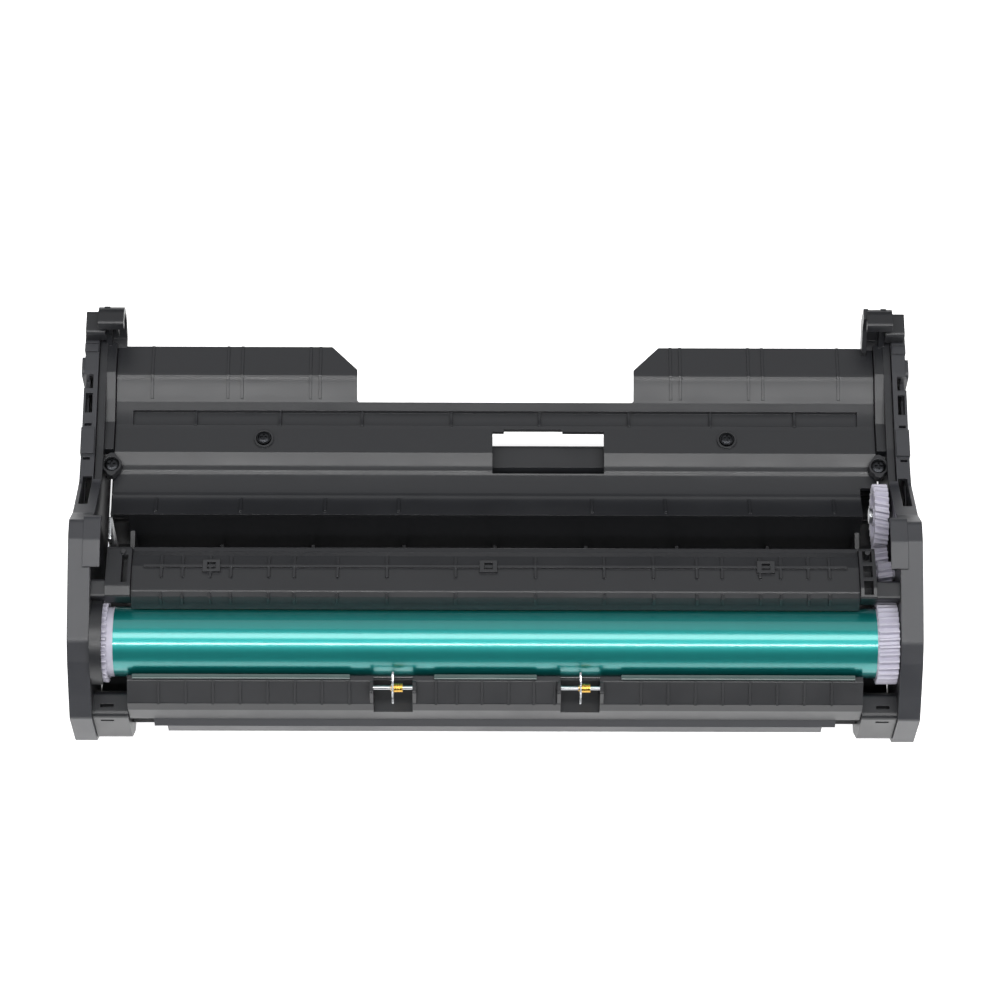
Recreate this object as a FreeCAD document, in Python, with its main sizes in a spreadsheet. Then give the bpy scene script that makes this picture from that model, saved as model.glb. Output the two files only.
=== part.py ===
# Printer drum unit: a moulded carriage that holds the photoconductor drum, its charge roller,
# its cleaning blade with the waste auger, and the gears that turn them.
# X runs along the drum, the drum side faces -Y, +Z is up, and the feet stand on Z = 0.
# Sizes are in millimetres and degrees.
import FreeCAD, Part
import Sketcher
import math
import os
import re

os.makedirs("parts", exist_ok=True)
doc = FreeCAD.newDocument("DrumUnit")

# Driving dimensions, one row a size: alias, value, meaning.
SIZES = [
    # Drum and its shaft
    ("drum_y", -38.0, "drum axis, depth"),
    ("drum_z", 38.0, "drum axis, height"),
    ("drum_r", 12.0, "drum coating radius"),
    ("drum_wall", 0.8, "drum tube wall"),
    ("drum_half", 128.8, "half of the drum tube's length"),
    ("shaft_r", 3.0, "drum shaft radius"),
    ("run_fit", 0.04, "radial clearance of a shaft that turns in its hole"),
    ("press_fit", 0.02, "radial clearance of a pressed or bonded seat"),
    ("plug_len", 9.0, "length of a gear's plug inside the drum tube"),
    ("collar_len", 2.2, "length of the collar beside the left gear"),
    ("end_play", 0.35, "axial clearance beside a turning piece"),
    # Side frames
    ("frame_in", 136.4, "inner face of a side plate from the middle"),
    ("frame_wall", 2.6, "side plate thickness"),
    ("bush_wall", 2.0, "wall of a shaft bush"),
    ("foot_in", 124.4, "inner face of a front foot from the middle"),
    ("foot_top", 30.0, "height of a front foot's top"),
    ("foot_front", -62.0, "front face of a front foot"),
    ("foot_back", -51.6, "back of a front foot"),
    ("ledge_wide", 4.6, "width of the ledge under the cover's end"),
    ("ledge_thick", 2.4, "thickness of that ledge"),
    ("curb_high", 2.2, "height of the curb beside the cover's end"),
    # End covers
    ("cap_gap", 0.2, "air between a side plate and its end cover's inside"),
    ("cap_wall", 1.6, "end cover wall"),
    ("cap_depth", 5.0, "depth of an end cover outside its side plate"),
    ("cap_bulge", 1.1, "height of the swell near the rear of an end cover"),
    ("dock_r", 4.0, "locating bore over the drum shaft"),
    # Gears
    ("module_size", 0.8, "tooth module"),
    ("helix_angle", 18.0, "slant of the helical teeth"),
    ("backlash", 0.42, "play between teeth in mesh, along the pitch circle"),
    ("mesh_slack", 0.2, "extra distance between axes in mesh"),
    ("drum_teeth", 33.0, "teeth of the drum gears"),
    ("idler_teeth", 15.0, "teeth of the idler gear"),
    ("auger_teeth", 10.0, "teeth of the auger gear"),
    ("transfer_teeth", 22.0, "teeth of the transfer gear"),
    ("upper_teeth", 26.0, "teeth of the upper gear"),
    ("gear_near", 130.6, "inner face of the gear train from the middle"),
    ("gear_wide", 4.8, "width of the gear train"),
    ("idler_turn", -18.4, "direction from the drum axis to the idler"),
    ("auger_turn", 53.0, "direction from the idler to the auger"),
    ("transfer_turn", -25.0, "direction from the idler to the transfer gear"),
    ("upper_turn", 25.0, "direction from the transfer gear to the upper gear"),
    ("pin_r", 1.8, "radius of a gear pin"),
    # Cover
    ("cover_half", 133.0, "half of the cover's length"),
    ("cover_wall", 2.0, "cover thickness"),
    ("cover_front_y", 10.4, "cover's front edge, depth"),
    ("cover_front_z", 36.0, "cover's front edge, height"),
    ("cover_dip_z", 30.2, "lowest line of the cover"),
    ("cover_mid_z", 32.4, "height of the cover's middle crease"),
    ("cover_mid_y", 36.0, "depth of the cover's middle crease"),
    ("cover_back_y", 55.0, "rear edge of the cover between the flaps"),
    ("flap_crease_y", 64.0, "crease across the flaps"),
    ("flap_crease_z", 36.5, "height of the flaps' crease"),
    ("flap_back_y", 76.0, "rear edge of the flaps"),
    ("flap_gap_half", 48.6, "half of the gap between the flaps at its foot"),
    ("flap_chamfer", 10.2, "length of the flaps' cut corners"),
    ("window_left", -1.0, "left end of the cover's window"),
    ("window_right", 38.0, "right end of the cover's window"),
    ("window_front", 29.0, "front edge of the window"),
    ("window_back", 44.6, "rear edge of the window"),
    ("boss_x", 81.0, "distance of a cover boss from the middle"),
    ("boss_y", 41.2, "depth of a cover boss"),
    ("boss_r", 2.7, "radius of a cover boss"),
    ("screw_r", 1.3, "radius of a screw's thread"),
    ("rib_wide", 0.9, "width of a small rib"),
    ("rib_high", 0.9, "height of a small rib"),
    # Cleaner
    ("cleaner_half", 123.0, "half of the cleaner housing's length"),
    ("cleaner_wall", 1.7, "cleaner housing wall"),
    ("lip_gap", 0.65, "air between the housing's lip and the drum"),
    ("bar_front_y", -26.0, "front of the housing's top"),
    ("bar_back_y", -8.1, "rear wall of the cleaner"),
    ("bar_top_z", 54.0, "top of the housing"),
    ("plate_z", 48.6, "top of the blade bracket's flat part"),
    ("plate_thick", 1.2, "blade bracket thickness"),
    ("blade_thick", 1.6, "urethane blade thickness"),
    ("blade_long", 8.6, "depth of the urethane blade"),
    ("blade_gap", 0.2, "air between the blade's edge and the drum"),
    ("blade_tilt", 20.0, "slope of the blade"),
    ("blade_at", 38.5, "place of the blade's edge around the drum"),
    ("auger_r", 3.4, "radius of the auger's flight"),
    ("auger_core", 1.8, "radius of the auger's shaft"),
    ("auger_pitch", 24.0, "pitch of the auger's flight"),
    ("auger_room", 1.2, "air round the auger's flight"),
    # Charge roller
    ("charge_r", 5.0, "charge roller radius"),
    ("charge_gap", 0.1, "air between the charge roller and the drum"),
    ("charge_turn", -60.0, "direction from the drum axis to the charge roller"),
    ("charge_half", 121.5, "half of the charge roller's length"),
    ("charge_shaft_r", 2.5, "charge roller shaft radius"),
    ("block_near", 122.4, "inner face of a charge roller block"),
    ("block_wide", 3.8, "width of a charge roller block"),
    ("block_r", 4.0, "radius of a block's round top"),
    ("spring_r", 2.4, "mean radius of a block's spring"),
    ("wire_r", 0.35, "spring wire radius"),
    ("spring_turns", 4.0, "turns of a block's spring"),
    # Base tray and rail
    ("tray_bottom", 4.0, "underside of the base tray"),
    ("tray_wall", 2.0, "base tray wall"),
    ("tray_half", 136.2, "half of the base tray's length"),
    ("tray_inner_half", 127.2, "half length of the trough between its end walls"),
    ("partition_y", -21.8, "wall behind the charge roller"),
    ("partition_top", 31.2, "top of that wall"),
    ("rail_half", 124.2, "half of the front rail's length"),
    ("rail_top_z", 40.6, "top of the front rail"),
    ("rail_back_y", -51.0, "back of the front rail"),
    ("rail_wall", 1.8, "front rail wall"),
    ("guide_half", 116.0, "half of the bottom guide plate's length"),
    ("guide_thick", 1.4, "bottom guide plate thickness"),
    ("guide_lip_y", -62.2, "front edge of the bottom guide plate"),
    # Star wheels
    ("star_r", 5.4, "star wheel radius at its points"),
    ("star_thick", 0.6, "star wheel thickness"),
    ("star_points", 12.0, "points of a star wheel"),
    ("star_y", -55.8, "star wheel axis, depth"),
    ("star_z", 41.0, "star wheel axis, height"),
    ("star_left_x", -34.5, "left star wheel from the middle"),
    ("star_right_x", 28.7, "right star wheel from the middle"),
    ("star_pin_r", 0.7, "star wheel pin radius"),
    ("star_hub_r", 1.5, "brass hub radius"),
    ("pocket_half", 6.6, "half width of a star wheel's pocket"),
    # Tie bar
    ("tie_front_y", 30.5, "front edge of the tie bar"),
    ("tie_back_y", 42.6, "rear edge of the tie bar"),
    ("tie_top_z", 25.4, "top of the tie bar"),
    ("tie_thick", 1.6, "tie bar thickness"),
]

# Places of small ribs along X, each from the middle, on both sides of it.
BAR_RIBS = (13.5, 36.7, 53.4, 68.0, 76.6, 89.4, 96.4, 105.7, 112.9)
RAIL_RIBS_OUTER = (49.2, 58.4, 67.6, 76.8, 86.0, 95.2, 104.4, 113.6)
RAIL_RIBS_INNER = (4.5, 13.0, 20.0)
GROOVE_RIBS = (15.5, 46.8, 75.5, 105.0)
DIP_RIBS = (33.5, 59.0, 88.2, 117.5)
FLAP_RIBS = (61.6, 65.0, 89.0, 94.0, 120.5)
BAR_CLIPS = (-96.0, -2.4, 91.4)

sheet = doc.addObject("Spreadsheet::Sheet", "Sizes")
ALIASES = set()
for row, (alias, value, meaning) in enumerate(SIZES, 1):
    sheet.set(f"A{row}", alias)
    sheet.set(f"B{row}", str(value))
    sheet.setAlias(f"B{row}", alias)
    sheet.set(f"C{row}", meaning)
    ALIASES.add(alias)
doc.recompute()

NODES = {}


def bound(expression):
    """The expression with each alias named as a cell of the sheet."""
    return re.sub(r"[a-z]\w*", lambda word: "Sizes." + word[0] if word[0] in ALIASES else word[0], str(expression))


def val(expression):
    """The expression's present value."""
    return float(sheet.evalExpression(bound(expression)))


def new_body(label):
    body = doc.addObject("PartDesign::Body", label)
    body.Label = label
    NODES[label] = body
    return body


def new_sketch(body, name, plane, level):
    """A sketch parallel to one of the body's origin planes, at a height along that plane's normal."""
    made = body.newObject("Sketcher::SketchObject", name)
    support = [item for item in body.Origin.OriginFeatures if item.Role == plane][0]
    made.AttachmentSupport = (support, [""])
    made.MapMode = "FlatFace"
    made.setExpression("AttachmentOffset.Base.z", bound(level))
    return made


def tied(geometry, point, across, up):
    """Constraints, each with its expression, that hold a point of a sketch."""
    return [(Sketcher.Constraint(kind, -1, 1, geometry, point, val(expression)), expression)
            for kind, expression in (("DistanceX", across), ("DistanceY", up))]


def constrain(sketch, pairs):
    """Add constraints all at once, then bind those that have an expression."""
    first = sketch.ConstraintCount
    sketch.addConstraint([constraint for constraint, _ in pairs])
    for number, (_, expression) in enumerate(pairs, first):
        if expression is not None:
            sketch.setExpression(f"Constraints[{number}]", bound(expression))


def draw_outline(sketch, corners):
    """A closed outline; a corner is (across, up) or (across, up, radius), each an expression."""
    count = len(corners)
    spots = [FreeCAD.Vector(val(corner[0]), val(corner[1]), 0) for corner in corners]
    arcs = []
    for index, corner in enumerate(corners):
        if len(corner) < 3:
            arcs.append(None)
            continue
        before = (spots[index - 1] - spots[index]).normalize()
        after = (spots[(index + 1) % count] - spots[index]).normalize()
        half_turn = math.acos(max(-1.0, min(1.0, before.dot(after)))) / 2
        radius = val(corner[2])
        middle = (before + after).normalize()
        centre = spots[index] + middle * (radius / math.sin(half_turn))
        reach = radius / math.tan(half_turn)
        arcs.append((spots[index] + before * reach, centre - middle * radius, spots[index] + after * reach))
    lines = []
    for index in range(count):
        start = arcs[index][2] if arcs[index] else spots[index]
        follower = (index + 1) % count
        end = arcs[follower][0] if arcs[follower] else spots[follower]
        lines.append(sketch.addGeometry(Part.LineSegment(start, end), False))
    pairs = []
    for index, corner in enumerate(corners):
        if arcs[index] is None:
            pairs.append((Sketcher.Constraint("Coincident", lines[index - 1], 2, lines[index], 1), None))
            pairs += tied(lines[index], 1, corner[0], corner[1])
            continue
        arc = sketch.addGeometry(Part.Arc(*arcs[index]), False)
        forward = (sketch.getPoint(arc, 1) - arcs[index][0]).Length < 1e-6
        first, last = (1, 2) if forward else (2, 1)
        corner_point = sketch.addGeometry(Part.Point(spots[index]), True)
        pairs.append((Sketcher.Constraint("Tangent", lines[index - 1], 2, arc, first), None))
        pairs.append((Sketcher.Constraint("Tangent", lines[index], 1, arc, last), None))
        pairs.append((Sketcher.Constraint("Radius", arc, val(corner[2])), corner[2]))
        pairs.append((Sketcher.Constraint("PointOnObject", corner_point, 1, lines[index - 1]), None))
        pairs.append((Sketcher.Constraint("PointOnObject", corner_point, 1, lines[index]), None))
        pairs += tied(corner_point, 1, corner[0], corner[1])
    constrain(sketch, pairs)


def draw_circle(sketch, across, up, radius):
    spot = FreeCAD.Vector(val(across), val(up), 0)
    ring = sketch.addGeometry(Part.Circle(spot, FreeCAD.Vector(0, 0, 1), val(radius)), False)
    size = (Sketcher.Constraint("Radius", ring, val(radius)), radius)
    constrain(sketch, tied(ring, 3, across, up) + [size])


def box_corners(left, low, right, top):
    return [(left, low), (right, low), (right, top), (left, top)]


def draw(sketch, shapes):
    """Shapes are outlines (lists of corners) or circles (across, up, radius)."""
    for shape in shapes:
        if isinstance(shape, list):
            draw_outline(sketch, shape)
        else:
            draw_circle(sketch, *shape)


def add(body, name, plane, shapes, start, end):
    """Pad the shapes from start to end, measured along the global axis that the plane faces."""
    level = f"-({end})" if plane == "XZ_Plane" else start
    profile = new_sketch(body, name + "Sketch", plane, level)
    draw(profile, shapes)
    pad = body.newObject("PartDesign::Pad", name)
    pad.Profile = profile
    pad.setExpression("Length", bound(f"({end}) - ({start})"))
    pad.Refine = False
    body.Tip = pad
    return pad


def cut(body, name, plane, shapes, start, end):
    """Pocket the shapes from start to end, measured along the global axis that the plane faces."""
    level = f"-({start})" if plane == "XZ_Plane" else end
    profile = new_sketch(body, name + "Sketch", plane, level)
    draw(profile, shapes)
    pocket = body.newObject("PartDesign::Pocket", name)
    pocket.Profile = profile
    pocket.setExpression("Length", bound(f"({end}) - ({start})"))
    pocket.Refine = False
    body.Tip = pocket
    return pocket


def rib_row(body, name, band, places, half, low, high):
    """Ribs that share one section: a band along X with the stretches between the ribs cut away."""
    add(body, name, "YZ_Plane", [band], f"-({half})", half)
    ordered = sorted(places)
    starts = [f"-({half}) - 1"] + [f"{place} + rib_wide / 2" for place in ordered]
    ends = [f"{place} - rib_wide / 2" for place in ordered] + [f"{half} + 1"]
    depths = [corner[0] for corner in band]
    front = min(depths, key=val)
    back = max(depths, key=val)
    gaps = [box_corners(start, f"{front} - 1", end, f"{back} + 1") for start, end in zip(starts, ends)]
    cut(body, name + "Gaps", "XY_Plane", gaps, low, high)


def both_sides(places):
    return [sign * place for place in places for sign in (-1, 1)]


def span(side, near, far):
    """A stretch of X from near to far on one side of the middle, as (start, end)."""
    return (near, far) if side > 0 else (f"-({far})", f"-({near})")


def grown(corners, amount):
    """The outline moved outwards by an amount, with its corners' radii kept; it runs counter-clockwise."""
    spots = [FreeCAD.Vector(val(corner[0]), val(corner[1]), 0) for corner in corners]
    moved = []
    for index, corner in enumerate(corners):
        before = (spots[index] - spots[index - 1]).normalize()
        after = (spots[(index + 1) % len(spots)] - spots[index]).normalize()
        normal_before = FreeCAD.Vector(before.y, -before.x, 0)
        normal_after = FreeCAD.Vector(after.y, -after.x, 0)
        shift = (normal_before + normal_after) / (1 + normal_before.dot(normal_after))
        place = (f"{corner[0]} + ({amount}) * {shift.x:.4f}", f"{corner[1]} + ({amount}) * {shift.y:.4f}")
        moved.append(place + tuple(corner[2:]))
    return moved


def rod(label, axis_y, axis_z, radius, start, end, bore=None):
    """A round bar or tube along X."""
    body = new_body(label)
    rings = [(axis_y, axis_z, radius)]
    if bore is not None:
        rings.append((axis_y, axis_z, bore))
    add(body, "Rod", "YZ_Plane", rings, start, end)
    return body


# Gear axes, each worked out from the one that drives it.
def pitch_radius(teeth):
    return f"(module_size * {teeth} / 2)"


def step(start, teeth_a, teeth_b, turn):
    """The axis of a gear in mesh with one whose axis is known."""
    reach = f"({pitch_radius(teeth_a)} + {pitch_radius(teeth_b)} + mesh_slack)"
    return (f"({start[0]} + {reach} * cos({turn}))", f"({start[1]} + {reach} * sin({turn}))")


DRUM = ("drum_y", "drum_z")
IDLER = step(DRUM, "drum_teeth", "idler_teeth", "idler_turn")
AUGER = step(IDLER, "idler_teeth", "auger_teeth", "auger_turn")
TRANSFER = step(IDLER, "idler_teeth", "transfer_teeth", "transfer_turn")
UPPER = step(TRANSFER, "transfer_teeth", "upper_teeth", "upper_turn")
CHARGE_REACH = "(drum_r + charge_r + charge_gap)"
CHARGE = (f"(drum_y + {CHARGE_REACH} * cos(charge_turn))", f"(drum_z + {CHARGE_REACH} * sin(charge_turn))")
FRAME_OUT = "(frame_in + frame_wall)"
CAP_OUT = f"({FRAME_OUT} + cap_depth)"
GEAR_FAR = "(gear_near + gear_wide)"

# Side outline of a side plate, counter-clockwise from the front foot's toe. The end cover's rim
# passes under it and stands on the floor.
SOLE = "(cap_gap + cap_wall)"
SIDE_OUTLINE = [
    ("foot_front + 6.5", SOLE, "3"),
    ("drum_y - 6", SOLE),
    ("drum_y - 3", "8", "3"),
    ("cover_back_y - 12", "8", "3"),
    ("cover_back_y - 7", SOLE),
    ("flap_back_y - 4", SOLE, "2"),
    ("flap_back_y - 1", "16", "4"),
    ("flap_back_y + 2", "38.4", "2"),
    ("flap_back_y - 12", "38.4", "3"),
    ("cover_mid_y", "36.4", "4"),
    ("cover_front_y + 10", "37.4", "4"),
    ("2", "51.5", "3"),
    ("-4.5", "60.4", "2.5"),
    ("-10.5", "60.4", "3"),
    ("drum_y + 16", "56.4", "4"),
    ("drum_y - 4", "49.4", "6"),
    ("drum_y - 10", "44.8", "5"),
    ("drum_y - 18", "36.2", "3"),
    ("foot_front + 0.6", "foot_top", "2"),
    ("foot_front + 0.6", "10", "5"),
]


def cover_top(lift):
    """The cover's upper line from front to back, raised by an amount."""
    line = [
        ("cover_front_y", "cover_front_z"),
        ("cover_front_y + 9.6", "cover_dip_z + 0.8"),
        ("cover_mid_y - 6", "cover_dip_z"),
        ("cover_mid_y", "cover_mid_z"),
        ("cover_mid_y + 11", "cover_mid_z - 0.9"),
        ("cover_back_y", "cover_mid_z + 1.1"),
        ("flap_crease_y", "flap_crease_z"),
        ("flap_back_y", "flap_crease_z - 1"),
    ]
    return [(depth, f"{height} + ({lift})") for depth, height in line]


def make_side_frame(side, label):
    """Side plate with feet, the cover's ledge and curb, the cleaner's seat and the rear grip."""
    body = new_body(label)
    plate = span(side, "frame_in", FRAME_OUT)
    holes = [DRUM + ("shaft_r + run_fit + bush_wall",)]
    if side > 0:
        holes += [axis + ("pin_r",) for axis in (IDLER, TRANSFER, UPPER)]
        holes.append(AUGER + ("auger_core + run_fit",))
    add(body, "Plate", "YZ_Plane", [SIDE_OUTLINE] + holes, *plate)
    foot = [
        ("foot_front + 6.5", "0", "3"),
        ("foot_back", "0"),
        ("foot_back", "foot_top - 3"),
        ("foot_back - 2", "foot_top", "1.5"),
        ("foot_front", "foot_top", "2"),
        ("foot_front", "10", "5"),
    ]
    add(body, "Foot", "YZ_Plane", [foot], *span(side, "foot_in", "frame_in"))
    slits = [
        box_corners("foot_front + 3.2", "foot_top - 2.4", "foot_front + 4.4", "foot_top + 1"),
        box_corners("foot_front - 1", "foot_top - 4.6", "foot_front + 1.6", "foot_top - 3.4"),
    ]
    cut(body, "FootSlits", "YZ_Plane", slits, *span(side, "foot_in + 5", "frame_in - 2.5"))
    under = cover_top("-cover_wall - 0.2")[2:]
    ledge = under + [(depth, f"{height} - ledge_thick") for depth, height in reversed(under)]
    add(body, "Ledge", "YZ_Plane", [ledge], *span(side, "frame_in - ledge_wide", "frame_in"))
    low = cover_top("-cover_wall")[3:]
    high = cover_top("curb_high")[3:]
    add(body, "Curb", "YZ_Plane", [low + high[::-1]], *span(side, "cover_half + 0.2", "frame_in"))
    make_grip(body, side)
    rear_rib = box_corners("flap_back_y - 8", "8", "flap_back_y - 5", "30")
    add(body, "RearRib", "YZ_Plane", [rear_rib], *span(side, "frame_in - 5", "frame_in"))
    return body


def make_grip(body, side):
    """The curled grip on the rear corner: a finger that rises behind the flap and curls forward."""
    back = "flap_back_y + 9"
    finger = [
        ("flap_back_y - 1", "33.5"),
        ("flap_back_y + 4", "34"),
        (back, "40.5", "5"),
        (back, "50.5", "4.5"),
        ("flap_back_y + 0.6", "51.5", "1.5"),
        ("flap_back_y - 0.4", "48.6"),
        ("flap_back_y + 1.6", "48.2"),
        ("flap_back_y + 2.4", "49.4", "0.8"),
        ("flap_back_y + 7", "48.6", "2.6"),
        ("flap_back_y + 7", "41.4", "3.4"),
        ("flap_back_y + 2.6", "36.2"),
        ("flap_back_y - 1", "35.7"),
    ]
    add(body, "Grip", "YZ_Plane", [finger], *span(side, "frame_in - 6.4", FRAME_OUT))
    gusset = [
        ("flap_back_y + 1.6", "35"),
        ("flap_back_y + 5", "38", "1"),
        ("flap_back_y + 8", "42"),
        ("flap_back_y + 8", "50"),
        ("flap_back_y + 5", "50"),
        ("flap_back_y + 3", "44", "3"),
        ("flap_back_y - 1", "38"),
        ("flap_back_y - 2", "35"),
    ]
    add(body, "GripGusset", "YZ_Plane", [gusset], *span(side, "frame_in - 1.4", "frame_in + 0.6"))
    block = [
        ("flap_back_y - 0.8", "41.4"),
        ("flap_back_y + 8.4", "41.4"),
        ("flap_back_y + 8.4", "46.4", "1.5"),
        ("flap_back_y - 0.8", "46.4", "1.5"),
    ]
    add(body, "GripBlock", "YZ_Plane", [block], *span(side, "frame_in + 0.4", FRAME_OUT + " + 4.6"))
    if side > 0:
        leg = [
            ("flap_back_y - 3.5", "35.4"),
            ("flap_back_y + 2", "35.4"),
            ("flap_back_y + 8", "41", "3"),
            ("flap_back_y + 8", "50"),
            ("flap_back_y + 4", "50"),
            ("flap_back_y + 3", "45", "4"),
            ("flap_back_y - 3.5", "38.4"),
        ]
        add(body, "GripLeg", "YZ_Plane", [leg], "frame_in - 7.4", "frame_in - 5.8")
    else:
        ribs = [
            box_corners("-(frame_in - 1.6)", "flap_back_y + 1", "-(frame_in - 0.8)", "flap_back_y + 7.6"),
            box_corners("-(frame_in - 4.1)", "flap_back_y + 1", "-(frame_in - 3.3)", "flap_back_y + 7.6"),
        ]
        add(body, "GripRibs", "XY_Plane", ribs, "41", "49.6")


def make_end_cover(side, label):
    """Shell over a side plate: a deep rim, a raised dock ring and recesses along its top."""
    body = new_body(label)
    outer = grown(SIDE_OUTLINE, "cap_gap + cap_wall")
    inner = grown(SIDE_OUTLINE, "cap_gap")
    add(body, "Shell", "YZ_Plane", [outer], *span(side, "frame_in + 0.1", CAP_OUT))
    cut(body, "Hollow", "YZ_Plane", [inner], *span(side, "frame_in - 1", CAP_OUT + " - cap_wall"))
    add(body, "DockRing", "YZ_Plane", [DRUM + ("dock_r + 2",)],
        *span(side, FRAME_OUT + " + cap_gap", CAP_OUT))
    cut(body, "DockBore", "YZ_Plane", [DRUM + ("dock_r",)], *span(side, FRAME_OUT, CAP_OUT + " + 1"))
    rear = box_corners("cover_front_y + 12", "-5", "flap_back_y + 20", "60")
    cut(body, "RearStep", "YZ_Plane", [rear], *span(side, "frame_in - 1", FRAME_OUT + " + cap_gap"))
    swell = [
        ("flap_crease_y - 1.4", "20"),
        ("flap_crease_y + 6", "20"),
        ("flap_crease_y + 6", "39.6", "2"),
        ("flap_crease_y - 1.4", "39.6", "2"),
    ]
    add(body, "Swell", "YZ_Plane", [swell], *span(side, CAP_OUT + " - 0.5", CAP_OUT + " + cap_bulge"))
    top = "46"
    recesses = [
        ("cover_back_y + 2.2", "cover_back_y + 7.4", "34"),
        ("cover_back_y - 7", "cover_back_y + 0.4", "35"),
        ("cover_mid_y - 6", "cover_mid_y - 5", "35"),
        ("cover_mid_y + 7", "cover_mid_y + 8", "35"),
    ]
    low = FRAME_OUT + " + 1.8"
    for number, (front, back, floor) in enumerate(recesses):
        reach = CAP_OUT + (" + 2" if number == 0 else " - 0.8")
        left, right = span(side, low, reach)
        cut(body, f"Recess{number}", "XY_Plane", [box_corners(left, front, right, back)], floor, top)
    left, right = span(side, FRAME_OUT + " + cap_gap + 0.4", CAP_OUT + " - 1.2")
    channel = box_corners(left, "cover_front_y - 2", right, "cover_front_y + 13")
    cut(body, "Channel", "XY_Plane", [channel], "33", "70")
    blocks = [
        ("cover_mid_y - 4", "cover_mid_y + 6", "39.6"),
        ("flap_back_y - 5", "flap_back_y - 2", "41"),
        ("flap_back_y - 1.6", "flap_back_y + 1.6", "40.6"),
    ]
    for number, (front, back, height) in enumerate(blocks):
        left, right = span(side, FRAME_OUT + " + 0.5", CAP_OUT + " + 0.2")
        add(body, f"Block{number}", "XY_Plane", [box_corners(left, front, right, back)], "36", height)
    peak = [
        ("-17.5", "59.6"),
        ("-10", "60.8"),
        ("-4", "60.8"),
        ("-1", "57"),
        ("0.6", "55.8"),
        ("-2", "60.8 + cap_wall", "2.5"),
        ("-11", "60.8 + cap_wall", "3"),
        ("-20", "59.9"),
    ]
    add(body, "Peak", "YZ_Plane", [peak], *span(side, "frame_in - 3.2", FRAME_OUT))
    return body


def make_upper_cover():
    """Curved panel between the side frames with flaps, window, groove, bosses and small ribs."""
    body = new_body("upper_cover")
    top = cover_top("0")
    bottom = [(depth, f"{height} - cover_wall") for depth, height in top]
    rounded = [top[0], top[1] + ("6",), top[2] + ("8",), top[3], top[4] + ("10",), top[5] + ("8",),
               top[6] + ("4",), top[7] + ("0.8",)]
    lower = [bottom[0], bottom[1] + ("8",), bottom[2] + ("6",), bottom[3] + ("1",), bottom[4] + ("8",),
             bottom[5] + ("10",), bottom[6] + ("6",), bottom[7]]
    slope = [
        ("cover_front_y + 0.6", "cover_front_z - 1.4"),
        ("cover_front_y + 9", "cover_dip_z + 0.2"),
        ("cover_front_y + 8", "cover_dip_z + 2.2"),
        ("cover_front_y + 1.6", "cover_front_z - 0.2"),
    ]
    rib_row(body, "DipRibs", slope, both_sides(DIP_RIBS), "cover_half", "20", "50")
    strip = [
        ("flap_crease_y - 8", "cover_mid_z + 1.0"),
        ("flap_crease_y", "flap_crease_z - 0.5"),
        ("flap_back_y - 0.3", "flap_crease_z - 1.5"),
        ("flap_back_y - 0.3", "flap_crease_z - 0.65"),
        ("flap_crease_y", "flap_crease_z + 0.35"),
        ("flap_crease_y - 8", "cover_mid_z + 1.7"),
    ]
    rib_row(body, "FlapRibs", strip, both_sides(FLAP_RIBS), "cover_half - 1", "20", "50")
    add(body, "Panel", "YZ_Plane", [lower + rounded[::-1]], "-cover_half", "cover_half")
    gap = [
        ("-flap_gap_half", "cover_back_y", "1"),
        ("flap_gap_half", "cover_back_y", "1"),
        ("flap_gap_half", "flap_crease_y + 2.4"),
        ("flap_gap_half + flap_chamfer", "flap_back_y + 1"),
        ("-(flap_gap_half + flap_chamfer)", "flap_back_y + 1"),
        ("-flap_gap_half", "flap_crease_y + 2.4"),
    ]
    cut(body, "FlapGap", "XY_Plane", [gap], "20", "50")
    groove = [
        ("cover_mid_y + 11", "cover_mid_z - 2"),
        ("cover_mid_y + 16", "cover_mid_z - 1.4"),
        ("cover_mid_y + 16", "cover_mid_z + 4"),
        ("cover_mid_y + 11", "cover_mid_z + 4"),
    ]
    cut(body, "Groove", "YZ_Plane", [groove], "-cover_half + 6", "cover_half - 6")
    window = [
        ("window_left", "window_front"),
        ("window_right", "window_front"),
        ("window_right", "window_back"),
        ("(window_left + window_right) / 2 + 5", "window_back"),
        ("(window_left + window_right) / 2 + 5", "window_back + 0.9"),
        ("window_left + 4", "window_back + 0.9"),
        ("window_left + 4", "window_back"),
        ("window_left", "window_back"),
    ]
    cut(body, "Window", "XY_Plane", [window], "20", "50")
    corner = box_corners("tray_inner_half", "cover_front_y - 1", "cover_half + 1", f"{UPPER[0]} + 12")
    cut(body, "GearCorner", "XY_Plane", [corner], "20", "50")
    bosses = [("-boss_x", "boss_y", "boss_r + 0.7"), ("boss_x", "boss_y", "boss_r + 0.7")]
    add(body, "Bosses", "XY_Plane", bosses, "tie_top_z + 0.1", "cover_mid_z + 0.5")
    sinks = [("-boss_x", "boss_y", "boss_r"), ("boss_x", "boss_y", "boss_r")]
    cut(body, "BossSinks", "XY_Plane", sinks, "cover_mid_z - 1.2", "cover_mid_z + 2")
    threads = [("-boss_x", "boss_y", "screw_r"), ("boss_x", "boss_y", "screw_r")]
    cut(body, "BossHoles", "XY_Plane", threads, "cover_dip_z - 4.2", "cover_mid_z")
    ribs = []
    for place in GROOVE_RIBS:
        for sign in (-1, 1):
            middle = sign * place
            ribs.append(box_corners(f"{middle} - rib_wide / 2", "cover_mid_y + 10.5",
                                    f"{middle} + rib_wide / 2", "cover_mid_y + 16.5"))
    add(body, "GrooveRibs", "XY_Plane", ribs, "cover_mid_z - 2.4", "cover_mid_z - 0.4")
    return body


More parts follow.
